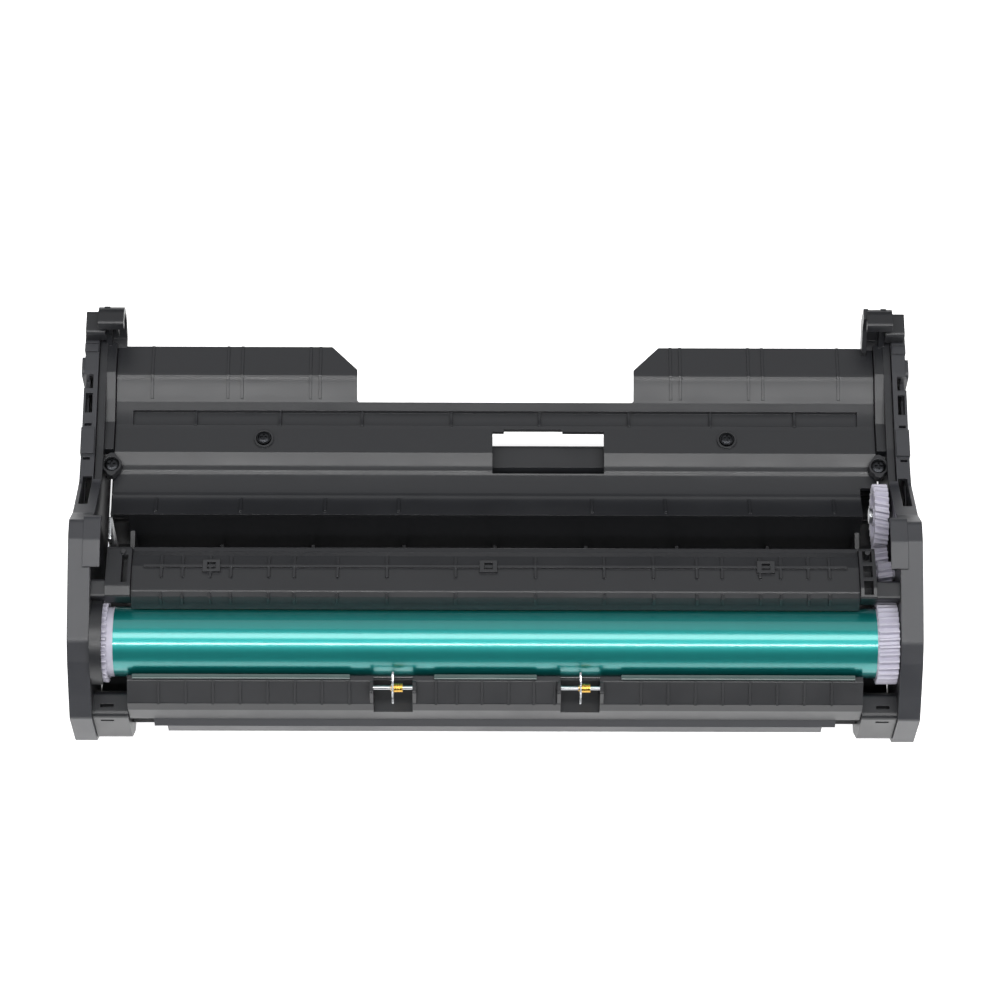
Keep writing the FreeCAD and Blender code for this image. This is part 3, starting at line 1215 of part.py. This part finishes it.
# The origin is under the middle of the whole, at the feet's level.
extent = FreeCAD.BoundBox()
for node in NODES.values():
    extent.add(node.Shape.BoundBox)
ORIGIN_Y = extent.Center.y
for label, node in NODES.items():
    node.Placement.Base = node.Placement.Base - FreeCAD.Vector(0, ORIGIN_Y, 0)
    node.Shape.exportStep(f"parts/{label}.step")
print(len(NODES), "nodes written")
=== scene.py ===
# %% [markdown]
# # A laser printer's drum unit, seen from above and in front
#
# The real object is a wide carriage of moulded black plastic. A coated drum lies along its front edge, white
# gears drive it at the right end, and a curved cover with two flaps closes the rear. The solids come from the
# CAD frame, which is already in metres. This lesson gives each of them the finish of the real material, adds the
# small fittings that a moulding tool leaves or a screwdriver meets, and sets up a pale studio.

import math

import bmesh
import bpy
from mathutils import Matrix, Vector


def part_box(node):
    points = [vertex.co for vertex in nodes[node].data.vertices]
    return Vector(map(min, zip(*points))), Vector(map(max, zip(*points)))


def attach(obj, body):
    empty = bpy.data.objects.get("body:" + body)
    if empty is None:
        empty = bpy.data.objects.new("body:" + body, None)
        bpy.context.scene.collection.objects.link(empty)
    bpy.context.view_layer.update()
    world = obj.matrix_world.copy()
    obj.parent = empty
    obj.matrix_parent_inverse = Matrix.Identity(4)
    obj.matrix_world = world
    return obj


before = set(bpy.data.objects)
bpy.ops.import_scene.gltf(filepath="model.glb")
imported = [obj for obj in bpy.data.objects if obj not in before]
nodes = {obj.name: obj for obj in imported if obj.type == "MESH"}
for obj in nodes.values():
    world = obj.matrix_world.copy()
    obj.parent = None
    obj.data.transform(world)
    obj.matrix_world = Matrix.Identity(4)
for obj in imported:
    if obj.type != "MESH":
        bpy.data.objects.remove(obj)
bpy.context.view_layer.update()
MM = 0.001

# %% [markdown]
# ## Colour and nodes
#
# Colours are chosen as sRGB hex values, the way a picture editor shows them, and shaders need linear light. One
# function turns the first into the second. Another adds one shader node with its settings and its links, so that
# each material below reads as a list of what feeds what. Every surface varies a little between two colours, so
# mixing them by a factor has a function too.

# %% Helpers for materials
MIX_A, MIX_B, MIX_RESULT = 6, 7, 2  # the colour sockets of a Mix node, which share their names with others
NOISE_LOW, NOISE_HIGH = 0.3, 0.7  # most values of a noise lie between these


def colour(hex_code):
    """Linear RGBA of an sRGB hex colour such as "#1f2023"."""
    channels = [int(hex_code[place:place + 2], 16) / 255 for place in (1, 3, 5)]
    linear = [c / 12.92 if c <= 0.04045 else ((c + 0.055) / 1.055) ** 2.4 for c in channels]
    return (*linear, 1.0)


def add_node(material, kind, settings=(), inputs=()):
    """Adds one node: settings are its properties, inputs its socket values or the sockets that feed them."""
    node = material.node_tree.nodes.new(kind)
    for name, value in dict(settings).items():
        setattr(node, name, value)
    for name, value in dict(inputs).items():
        if isinstance(value, bpy.types.NodeSocket):
            material.node_tree.links.new(value, node.inputs[name])
        else:
            node.inputs[name].default_value = value
    return node


def blend(material, factor, low, high):
    """Mixes two colours by a factor."""
    mix = add_node(material, "ShaderNodeMix", {"data_type": "RGBA"}, {"Factor": factor, MIX_A: low, MIX_B: high})
    return mix.outputs[MIX_RESULT]


def spread(material, pattern, low, high):
    """Turns a noise into a value between two limits."""
    span = add_node(material, "ShaderNodeMapRange", {},
                    {"Value": pattern, "From Min": NOISE_LOW, "From Max": NOISE_HIGH, "To Min": low, "To Max": high})
    return span.outputs["Result"]


def new_material(name):
    """An empty material and its output node."""
    material = bpy.data.materials.new(name)
    material.use_nodes = True
    material.node_tree.nodes.clear()
    output = material.node_tree.nodes.new("ShaderNodeOutputMaterial")
    return material, output


def finish_material(material, output, shader):
    """Joins the shader to the output, and gives the material back."""
    material.node_tree.links.new(shader.outputs[0], output.inputs["Surface"])
    return material


print("white is", colour("#ffffff"), "and mid grey is", round(colour("#808080")[0], 3))

# %% [markdown]
# ## The cover's smooth sag
#
# The cover's solid has flat strips that meet in soft creases, while the real panel sags in one smooth curve from
# its front edge to the middle crease, and in another from the groove to the flaps' crease. The difference is at
# most 2 mm, so it goes into the shading: a curve over the depth of the cover gives the height to add, and a Bump
# node turns it into a slope.

# %% The height that makes the cover's strips one smooth sag
COVER_FRONT, COVER_REAR = -0.5 * MM, 65.1 * MM  # the cover's front and rear edges, in the frame
COVER_SWELL = (  # depth behind the front edge and height to add, in mm, and whether the line bends sharply there
    (0, 0.0, True), (4.8, 0.16, False), (9.6, 1.2, True), (14.6, 1.01, False), (19.6, 1.79, True),
    (22.6, 1.36, False), (25.6, 1.28, True), (36.6, 1.28, True), (40.6, 0.53, False), (44.6, 0.22, True),
    (49.1, 0.08, False), (53.6, 0.53, True), (65.6, 0.53, True))


def swell(material, coordinates, curve, normal):
    """Adds a height that changes with depth only to a normal."""
    depth = add_node(material, "ShaderNodeSeparateXYZ", {}, {"Vector": coordinates})
    along = add_node(material, "ShaderNodeMapRange", {},
                     {"Value": depth.outputs["Y"], "From Min": COVER_FRONT, "From Max": COVER_REAR})
    line = add_node(material, "ShaderNodeFloatCurve", {}, {"Value": along.outputs["Result"]})
    span = curve[-1][0]
    highest = max(height for _, height, _ in curve)
    points = line.mapping.curves[0].points
    while len(points) < len(curve):
        points.new(0.5, 0.5)
    for point, (back, height, sharp) in zip(points, curve):
        point.location = (back / span, height / highest)
        point.handle_type = "VECTOR" if sharp else "AUTO"
    line.mapping.update()
    bump = add_node(material, "ShaderNodeBump", {},
                    {"Strength": 1.0, "Distance": highest * MM, "Height": line.outputs["Value"], "Normal": normal})
    return bump.outputs["Normal"]


print("the cover's shading swells by up to", max(height for _, height, _ in COVER_SWELL), "mm")

# %% [markdown]
# ## Moulded plastic
#
# The casing is injection-moulded ABS with a fine spark-eroded texture. It is dark but not flat: the polish of the
# steel tool varies a little from place to place, so the sheen is cloudy over a few centimetres, and the grain of
# the texture breaks up highlights. Real edges are never sharp, so a Bevel node rounds the shading of every edge by
# a quarter of a millimetre. That gives the thin light lines that the eye reads as moulded plastic. The real grain
# is about 0.1 mm, too fine for this view, so it is drawn at 0.5 mm.

# %% A moulded plastic with grain, cloudy sheen and soft edges
def moulded(name, base_hex, worn_hex, roughness, curve=(), grain=0.5 * MM, cloud=22 * MM, depth=0.02,
            edge=0.25 * MM):
    """A plastic between two colours; the curve, if any, is a height over depth for the cover."""
    material, output = new_material(name)
    place = add_node(material, "ShaderNodeTexCoord")
    clouds = add_node(material, "ShaderNodeTexNoise", {},
                      {"Vector": place.outputs["Object"], "Scale": 1 / cloud, "Detail": 3.0, "Roughness": 0.55})
    tint = blend(material, clouds.outputs["Fac"], colour(base_hex), colour(worn_hex))
    sheen = spread(material, clouds.outputs["Fac"], roughness - 0.05, roughness + 0.06)
    grains = add_node(material, "ShaderNodeTexNoise", {},
                      {"Vector": place.outputs["Object"], "Scale": 1 / grain, "Detail": 2.0})
    soft = add_node(material, "ShaderNodeBevel", {"samples": 4}, {"Radius": edge})
    normal = soft.outputs["Normal"]
    if curve:
        normal = swell(material, place.outputs["Object"], curve, normal)
    bump = add_node(material, "ShaderNodeBump", {},
                    {"Strength": 0.25, "Distance": depth * MM, "Height": grains.outputs["Fac"], "Normal": normal})
    shader = add_node(material, "ShaderNodeBsdfPrincipled", {},
                      {"Base Color": tint, "Roughness": sheen, "IOR": 1.53, "Normal": bump.outputs["Normal"]})
    return finish_material(material, output, shader)


black_abs = moulded("moulded_black_abs", "#191a1d", "#202124", roughness=0.38)
grey_abs = moulded("moulded_dark_grey_abs", "#2a2b2f", "#333438", roughness=0.40)
satin_abs = moulded("satin_black_abs_cover", "#1b1c1f", "#222326", roughness=0.34, curve=COVER_SWELL)
print("plastics:", black_abs.name, grey_abs.name, satin_abs.name)

# %% [markdown]
# ## The drum's coating
#
# The drum is an aluminium tube under a thin blue-green photoconductor film. Light goes through the film, off the
# bright metal and back, so the colour is metallic with a clear gloss on top. Under a long lamp it shows a pale
# line along its length. Towards its rims the colour is painted darker, towards navy, as painted shade; a
# Layer Weight node tells at what slant each point is seen. Fine rings from the dip coating run round the drum.

# %% The photoconductor coating
def drum_coating():
    """Teal metal under a clear coat, with fine rings, and a painted navy shade where it is seen at a slant."""
    material, output = new_material("photoconductor_on_aluminium")
    place = add_node(material, "ShaderNodeTexCoord")
    ring_width, round_scale = 3 * MM, 4.0
    stretch = add_node(material, "ShaderNodeMapping", {},
                       {"Vector": place.outputs["Object"], "Scale": (1 / ring_width, round_scale, round_scale)})
    rings = add_node(material, "ShaderNodeTexNoise", {},
                     {"Vector": stretch.outputs["Vector"], "Scale": 1.0, "Detail": 2.0})
    tint = blend(material, rings.outputs["Fac"], colour("#118583"), colour("#128a86"))
    facing = add_node(material, "ShaderNodeLayerWeight", {}, {"Blend": 0.5})
    base, exponent = 0, 1  # the inputs of the power
    # painted shade: the colour is darkened towards navy where the drum is seen at a slant
    slant = add_node(material, "ShaderNodeMath", {"operation": "POWER"},
                     {base: facing.outputs["Facing"], exponent: 3.0})
    colour_with_painted_rim_shade = blend(material, slant.outputs["Value"], tint, colour("#0b2038"))
    shader = add_node(material, "ShaderNodeBsdfPrincipled", {},
                      {"Base Color": colour_with_painted_rim_shade, "Metallic": 0.7, "Roughness": 0.36,
                       "Coat Weight": 1.0, "Coat Roughness": 0.14, "Coat IOR": 1.6})
    return finish_material(material, output, shader)


coating = drum_coating()
print("drum:", coating.name)

# %% [markdown]
# ## Acetal, metals, rubber and film
#
# The gears are white acetal, a waxy plastic that glows a little where it is thin, so the light goes some way into
# it. The screws and plates are zinc-plated steel with fine brush lines, the star wheel hubs are turned brass,
# and the hidden parts are rubber, urethane, felt and polyester film.

# %% A plain finish with fine variation
def finish(name, low_hex, high_hex, scale, roughness, metallic=0.0, ior=1.5, depth=0.0, extra=()):
    """A material between two colours; scale is the size of its variation along X, Y and Z."""
    material, output = new_material(name)
    place = add_node(material, "ShaderNodeTexCoord")
    lines = add_node(material, "ShaderNodeMapping", {},
                     {"Vector": place.outputs["Object"], "Scale": tuple(1 / size for size in scale)})
    pattern = add_node(material, "ShaderNodeTexNoise", {},
                       {"Vector": lines.outputs["Vector"], "Scale": 1.0, "Detail": 3.0})
    tint = blend(material, pattern.outputs["Fac"], colour(low_hex), colour(high_hex))
    sheen = spread(material, pattern.outputs["Fac"], roughness - 0.06, roughness + 0.06)
    bump = add_node(material, "ShaderNodeBump", {},
                    {"Strength": 0.3, "Distance": depth * MM, "Height": pattern.outputs["Fac"]})
    shader = add_node(material, "ShaderNodeBsdfPrincipled", {},
                      {"Base Color": tint, "Metallic": metallic, "Roughness": sheen, "IOR": ior,
                       "Normal": bump.outputs["Normal"], **dict(extra)})
    return finish_material(material, output, shader)


acetal = finish("white_acetal", "#a9a7b4", "#bdbac8", (4 * MM,) * 3, 0.42, ior=1.48, depth=0.02,
                extra={"Subsurface Weight": 0.25, "Subsurface Radius": (0.004, 0.004, 0.004),
                       "Subsurface Scale": 1.0})
zinc = finish("zinc_plated_steel", "#a9abae", "#c8cacc", (6 * MM, 0.3 * MM, 0.3 * MM), 0.3,
              metallic=1.0, depth=0.01)
dark_zinc = finish("black_zinc_screw", "#2a2b2d", "#3c3d40", (1.5 * MM,) * 3, 0.34, metallic=1.0, depth=0.01)
brass = finish("turned_brass", "#b98d3c", "#d8b05a", (0.2 * MM, 3 * MM, 3 * MM), 0.28,
               metallic=1.0, depth=0.01)
rubber = finish("conductive_rubber", "#1b1b1c", "#252526", (1 * MM,) * 3, 0.7, ior=1.52, depth=0.03)
urethane = finish("amber_urethane", "#a8772e", "#b98a40", (5 * MM,) * 3, 0.35, depth=0.02)
film = finish("polyester_film", "#8c8f92", "#a2a5a8", (8 * MM,) * 3, 0.2, ior=1.64)
# the green tint in this grey is a painted reflection of the drum; the gloss reflects it as well
film_with_painted_reflection = finish("glossy_film_painted_reflection", "#3b4a48", "#4a5a57", (10 * MM,) * 3, 0.14, ior=1.6)
felt = finish("pile_felt", "#8e8d88", "#a9a8a2", (0.6 * MM,) * 3, 0.9, depth=0.2)
small_finishes = (acetal, zinc, dark_zinc, brass, rubber, urethane, film, film_with_painted_reflection, felt)
print("small parts:", [m.name for m in small_finishes])

# %% [markdown]
# ## Dressing the CAD pieces
#
# Each CAD piece keeps its shape and gets the finish of what it is made of. The lists name every piece, and a test
# below them stops the script if one was forgotten.

# %% Give each CAD piece its finish
finishes = {
    black_abs: ["side_frame_left", "side_frame_right", "base_tray", "cleaner_housing", "cleaner_end_left",
                "cleaner_end_right", "front_rail", "waste_tank", "rear_tie_bar", "charge_block_left",
                "charge_block_right", "shaft_bush_left", "shaft_bush_right"],
    satin_abs: ["upper_cover"],
    grey_abs: ["end_cover_left", "end_cover_right", "bottom_guide_plate"],
    coating: ["drum_tube"],
    acetal: ["drum_gear_left", "drum_gear_right", "idler_gear", "transfer_gear", "upper_gear", "auger_gear",
             "waste_auger"],
    dark_zinc: ["cover_screws"],
    zinc: ["drum_shaft", "charge_shaft", "blade_bracket", "blade_screws", "star_wheel_left",
           "star_wheel_right", "star_pin_left", "star_pin_right", "gear_pins", "drum_ground_plate",
           "charge_spring_left", "charge_spring_right"],
    brass: ["star_hub_left", "star_hub_right"],
    rubber: ["charge_roller"],
    urethane: ["cleaning_blade"],
    film: ["recovery_film"],
    felt: ["drum_seals"],
}
for material, names in finishes.items():
    for name in names:
        mesh = nodes[name].data
        mesh.materials.clear()
        mesh.materials.append(material)
undressed = sorted(set(nodes) - {name for names in finishes.values() for name in names})
if undressed:
    raise RuntimeError(f"no finish for {undressed}")
print("dressed", sum(map(len, finishes.values())), "pieces")

# %% [markdown]
# ## Screws with cross recesses
#
# Four screws show: two in the cover's bosses and one at each end of the cover, in a lobed seat. A screw head is a
# short cylinder with a domed top, and the driver's cross is cut into it. The head is spun from half of its
# profile, and the cross is made of two tapered slots that a Boolean modifier takes out, which is how the cold
# heading punch makes the real one.

# %% Turn a bmesh into a piece on a body
SHARP = math.radians(35)  # edges that turn more than this stay crisp
ROUND_SEGMENTS = 28


def smooth(mesh):
    """Smooth shading, apart from the sharp edges."""
    mesh.shade_smooth()
    mesh.set_sharp_from_angle(angle=SHARP)


def soften(builder, radius):
    """Rounds every edge by a small radius."""
    bmesh.ops.bevel(builder, geom=builder.edges[:], offset=radius, affect="EDGES", segments=2, profile=0.5,
                    material=-1)


def piece(name, builder, material, body="carriage"):
    """Writes the bmesh to a new object with one material, riding on a CAD body."""
    bmesh.ops.remove_doubles(builder, verts=builder.verts, dist=1e-6)
    bmesh.ops.recalc_face_normals(builder, faces=builder.faces)
    mesh = bpy.data.meshes.new(name)
    builder.to_mesh(mesh)
    builder.free()
    mesh.materials.append(material)
    made = bpy.data.objects.new(name, mesh)
    bpy.context.scene.collection.objects.link(made)
    smooth(mesh)
    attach(made, body)
    return made


def carve(target, builder):
    """Takes the bmesh's shape out of a piece with a Boolean modifier, and applies it."""
    bmesh.ops.recalc_face_normals(builder, faces=builder.faces)
    mesh = bpy.data.meshes.new("cutter")
    builder.to_mesh(mesh)
    builder.free()
    cutter = bpy.data.objects.new("cutter", mesh)
    bpy.context.scene.collection.objects.link(cutter)
    cut = target.modifiers.new("cut", "BOOLEAN")
    cut.object, cut.operation, cut.solver = cutter, "DIFFERENCE", "EXACT"
    cut.use_self = True  # the seats are made of round lobes that overlap
    graph = bpy.context.evaluated_depsgraph_get()
    carved = bpy.data.meshes.new_from_object(target.evaluated_get(graph), depsgraph=graph)
    target.modifiers.clear()
    target.data = carved
    bpy.data.objects.remove(cutter)
    bpy.data.meshes.remove(mesh)
    smooth(carved)


def box(builder, low, high, taper=1.0):
    """Adds a box between two corners; its bottom may be tapered."""
    low, high = Vector(low), Vector(high)
    made = bmesh.ops.create_cube(builder, size=1.0)["verts"]
    for vert in made:
        if vert.co.z < 0:
            vert.co.x *= taper
            vert.co.y *= taper
    bmesh.ops.scale(builder, verts=made, vec=high - low)
    bmesh.ops.translate(builder, verts=made, vec=(low + high) / 2)
    return made


print("helpers ready")

# %% The screw heads
def screw_head(name, at, radius, high):
    """A domed head whose top is at a point, with a cross recess."""
    builder = bmesh.new()
    profile = [(0, 0), (radius * 0.55, -0.05 * high), (radius * 0.88, -0.25 * high), (radius, -0.55 * high),
               (radius, -high), (0, -high)]
    verts = [builder.verts.new((across, 0, up)) for across, up in profile]
    edges = [builder.edges.new(pair) for pair in zip(verts, verts[1:])]
    bmesh.ops.spin(builder, geom=verts + edges, cent=(0, 0, 0), axis=(0, 0, 1), angle=2 * math.pi,
                   steps=ROUND_SEGMENTS, use_merge=True, use_duplicate=False)
    bmesh.ops.translate(builder, verts=builder.verts, vec=at)
    head = piece(name, builder, dark_zinc)
    x, y, z = at
    reach, wide, deep, over = radius * 0.62, radius * 0.17, high * 0.6, high * 0.3
    for long_x, long_y in ((reach, wide), (wide, reach)):
        slot = bmesh.new()
        box(slot, (x - long_x, y - long_y, z - deep), (x + long_x, y + long_y, z + over), taper=0.7)
        carve(head, slot)
    return head


screw_low, screw_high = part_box("cover_screws")
boss_z = screw_high.z
boss_y = (screw_low.y + screw_high.y) / 2
CAD_HEAD_RADIUS = 2.35 * MM
boss_x = screw_high.x - CAD_HEAD_RADIUS
SIDES = ((-1, "left"), (1, "right"))
HEAD_RISE, HEAD_RADIUS, HEAD_HIGH = 0.7 * MM, 2.1 * MM, 0.75 * MM
for side, word in SIDES:
    screw_head(f"cover_screw_head_{word}", Vector((side * boss_x, boss_y, boss_z + HEAD_RISE)), HEAD_RADIUS,
               HEAD_HIGH)
print("cover screws at", [round(v / MM, 1) for v in (boss_x, boss_y, boss_z)])

# %% [markdown]
# The end screws hold the cover to the side plates. Each sits in a raised seat with two lobes, where the moulding
# was left thicker for the screw.

# %% The seats and the end screws
def lobed_seat(name, at, radius, high):
    """A round seat with a lobe at each side, and a sink for the head."""
    builder = bmesh.new()
    for shift, size in ((0, 1.0), (-0.75, 0.5), (0.75, 0.5)):  # the seat, then its lobes before and behind
        made = bmesh.ops.create_cone(builder, cap_ends=True, segments=ROUND_SEGMENTS, radius1=radius * size,
                                     radius2=radius * size * 0.94, depth=high)["verts"]
        bmesh.ops.translate(builder, verts=made, vec=Vector(at) + Vector((0, shift * radius, -high / 2)))
    seat = piece(name, builder, black_abs)
    sink = bmesh.new()
    made = bmesh.ops.create_cone(sink, cap_ends=True, segments=ROUND_SEGMENTS, radius1=radius * 0.72,
                                 radius2=radius * 0.78, depth=1.2 * MM)["verts"]
    bmesh.ops.translate(sink, verts=made, vec=Vector(at))
    carve(seat, sink)
    return seat


CURB_X, SEAT_Y, SEAT_TOP = 133.6 * MM, 19.4 * MM, 34.6 * MM  # on the curb beside the cover
SEAT_RADIUS, SEAT_HIGH = 3.6 * MM, 3.0 * MM
END_RISE, END_RADIUS, END_HIGH = 0.1 * MM, 2.5 * MM, 1.1 * MM
for side, word in SIDES:
    top = Vector((side * CURB_X, SEAT_Y, SEAT_TOP))
    lobed_seat(f"end_screw_seat_{word}", top, SEAT_RADIUS, SEAT_HIGH)
    screw_head(f"end_screw_{word}", top + Vector((0, 0, END_RISE)), END_RADIUS, END_HIGH)
print("end screws in place")

# %% [markdown]
# ## Small fittings at the drum
#
# A guard on the left side plate arches over the outer half of the drum gear and keeps fingers off the teeth. It is
# a thick arc, spun about the drum's axis. A thin grey film lies along the rear edge of the front rail and catches
# stray toner. Its gloss mirrors the drum, and the green tint in its grey is a painted reflection of the drum. A
# bright contact strip stands on the base, beside the left bracket.

# %% The guard over the left gear
tube_low, tube_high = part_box("drum_tube")
AXIS = Vector((0, (tube_low.y + tube_high.y) / 2, (tube_low.z + tube_high.z) / 2))
FRAME_IN, GUARD_NEAR = 136.4 * MM, 132.4 * MM  # the side plate's inner face, and the guard's open edge
GUARD_GAP, GUARD_THICK = 0.5 * MM, 1.2 * MM
GUARD_FIRST, GUARD_SWEEP = math.radians(12), math.radians(170)


def guard(name, near, far, inner, outer, first, sweep):
    """A thick arc round the drum's axis, from one angle over a sweep."""
    builder = bmesh.new()
    corners = [(near, inner), (far, inner), (far, outer), (near, outer)]
    verts = [builder.verts.new((x, AXIS.y + radius, AXIS.z)) for x, radius in corners]
    face = builder.faces.new(verts)
    bmesh.ops.rotate(builder, verts=verts, cent=AXIS, matrix=Matrix.Rotation(first, 3, "X"))
    bmesh.ops.spin(builder, geom=[face, *face.edges, *verts], cent=AXIS, axis=(1, 0, 0), angle=sweep, steps=30,
                   use_merge=False, use_duplicate=False)
    return piece(name, builder, black_abs)


GEAR_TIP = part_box("drum_gear_left")[1].z - AXIS.z
guard_inner = GEAR_TIP + GUARD_GAP
guard("gear_guard_left", -FRAME_IN, -GUARD_NEAR, guard_inner, guard_inner + GUARD_THICK, GUARD_FIRST, GUARD_SWEEP)
print("gear tip radius", round(GEAR_TIP / MM, 2), "mm")

# %% The film along the rail
rail_low, rail_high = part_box("front_rail")
FILM_RUNS = ((-122.5, -49), (-20.6, 14), (42.5, 121.5))  # in mm, between the star wheels' pockets
FILM_FRONT, FILM_REAR, FILM_LOW, FILM_TOP = 1.9 * MM, 0.2 * MM, 0.9 * MM, 0.25 * MM  # in from the rail's box
for number, (start, end) in enumerate(FILM_RUNS):
    builder = bmesh.new()
    box(builder, (start * MM, rail_high.y - FILM_FRONT, rail_high.z - FILM_LOW),
        (end * MM, rail_high.y - FILM_REAR, rail_high.z - FILM_TOP))
    soften(builder, 0.15 * MM)
    piece(f"rail_film_{number + 1}", builder, film_with_painted_reflection)
print("film pieces:", len(FILM_RUNS))

# %% [markdown]
# Under the cover's ends the base runs on as two narrow wings, which close the view down to the table beside the
# gears. Low ribs stiffen them.

# %% The base's wings under the cover's ends
tray_low, tray_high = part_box("base_tray")
TRAY_FLOOR = tray_low.z + 2 * MM
WING_NEAR, WING_FAR, WING_BACK = 127.4 * MM, 136.2 * MM, 40 * MM
SEAM, HAIR = 0.05 * MM, 0.01 * MM  # the gap to the tray, and the gap of the ribs to the wing
RIB_DEPTHS, RIB_THICK, RIB_INSET, RIB_TOP = (10, 20, 30), 1.2, 0.4 * MM, tray_low.z + 5 * MM  # depths in mm
for side, word in SIDES:
    builder = bmesh.new()
    left, right = sorted((side * WING_NEAR, side * WING_FAR))
    box(builder, (left, tray_high.y + SEAM, tray_low.z), (right, WING_BACK, TRAY_FLOOR))
    for depth in RIB_DEPTHS:
        box(builder, (left + RIB_INSET, depth * MM, TRAY_FLOOR + HAIR),
            (right - RIB_INSET, (depth + RIB_THICK) * MM, RIB_TOP))
    soften(builder, 0.3 * MM)
    piece(f"base_wing_{word}", builder, black_abs)
print("wings reach back to", round(WING_BACK / MM), "mm")

# %% The contact strip
STRIP_LEFT, STRIP_RIGHT = -133.6 * MM, -132.4 * MM
STRIP_FRONT, STRIP_BACK, STRIP_TOP = -9.5 * MM, -1.0 * MM, 35.0 * MM
builder = bmesh.new()
box(builder, (STRIP_LEFT, STRIP_FRONT, TRAY_FLOOR), (STRIP_RIGHT, STRIP_BACK, STRIP_TOP))
soften(builder, 0.25 * MM)
piece("contact_strip", builder, zinc)
print("contact strip in place")

# %% [markdown]
# ## The studio
#
# The photograph is a cut-out on white, taken under broad soft lamps. A long narrow one draws the pale line along
# the drum, a broad one overhead and a weaker one behind light the cover, and two weak ones fill the sides. The
# floor is a white table that shines a little by itself, so that it stays pale where the cover's window shows it.

# %% The table
TABLE_HALF = 6.0  # in metres, past everything that the camera sees


def make_table():
    """A large white plane under the object, which belongs to the stage."""
    builder = bmesh.new()
    bmesh.ops.create_grid(builder, x_segments=1, y_segments=1, size=TABLE_HALF)
    mesh = bpy.data.meshes.new("table")
    builder.to_mesh(mesh)
    builder.free()
    table = bpy.data.objects.new("table", mesh)
    bpy.context.scene.collection.objects.link(table)
    material, output = new_material("white_table")
    matt = add_node(material, "ShaderNodeBsdfPrincipled", {},
                    {"Base Color": colour("#f4f4f4"), "Roughness": 0.8, "Specular IOR Level": 0.2,
                     "Emission Color": colour("#ffffff"), "Emission Strength": 0.8})
    mesh.materials.append(finish_material(material, output, matt))


make_table()
print("table set")

# %% Lamps
def soft_lamp(name, place, aim, wide, deep, watts):
    """A rectangular lamp at a place, turned to a point; its sizes are in metres."""
    data = bpy.data.lights.new(name, "AREA")
    data.shape = "RECTANGLE"
    data.size, data.size_y, data.energy = wide, deep, watts
    lamp = bpy.data.objects.new(name, data)
    bpy.context.scene.collection.objects.link(lamp)
    lamp.location = Vector(place)
    lamp.rotation_mode = "QUATERNION"
    lamp.rotation_quaternion = (Vector(aim) - Vector(place)).to_track_quat("-Z", "Y")


LAMPS = (  # name, place and aim in metres, width, depth, watts
    ("drum_strip", (0, -0.6, 1.03), (0, -0.05, 0.04), 1.5, 0.055, 8),
    ("overhead_bank", (0, -0.1, 1.1), (0, 0, 0.03), 1.7, 0.3, 9),
    ("rear_soft", (0, 0.62, 0.95), (0, 0, 0.03), 1.7, 0.66, 2.6),
    ("left_fill", (-1.1, -0.3, 0.7), (0, 0, 0.03), 0.5, 0.8, 2),
    ("right_fill", (1.1, -0.3, 0.7), (0, 0, 0.03), 0.5, 0.8, 2),
)
for lamp_values in LAMPS:
    soft_lamp(*lamp_values)

world = bpy.data.worlds.new("studio_air")
bpy.context.scene.world = world
world.use_nodes = True
background = world.node_tree.nodes["Background"]
background.inputs["Color"].default_value = colour("#f2f4f8")
background.inputs["Strength"].default_value = 0.1
bpy.context.scene.view_settings.view_transform = "Standard"

# %% [markdown]
# ## The camera
#
# The camera looks down steeply from in front, through a long lens that keeps the sides almost parallel, as in the
# photograph. Its angles and distance were found by matching a dozen corners of the object to their places in the
# picture.

# %% The camera
AZIMUTH, ELEVATION, ROLL = math.radians(-0.86), math.radians(65.3), math.radians(0.95)
DISTANCE = 1.27
FOCAL_IN_PIXELS, PICTURE_PIXELS = 3658, 1002
aim = Vector((1.8, 6.3, 33.0)) * MM

data = bpy.data.cameras.new("camera")
data.sensor_width = 36.0
data.lens = data.sensor_width * FOCAL_IN_PIXELS / PICTURE_PIXELS
camera = bpy.data.objects.new("camera", data)
bpy.context.scene.collection.objects.link(camera)
bpy.context.scene.camera = camera
back = Vector((math.sin(AZIMUTH) * math.cos(ELEVATION), -math.cos(AZIMUTH) * math.cos(ELEVATION),
               math.sin(ELEVATION)))  # from the aim to the camera
camera.location = aim + back * DISTANCE
camera.rotation_mode = "QUATERNION"
camera.rotation_quaternion = back.to_track_quat("Z", "Y") @ Matrix.Rotation(ROLL, 3, "Z").to_quaternion()
data.clip_start, data.clip_end = 0.05, 20.0
print("lens", round(data.lens, 1), "mm")
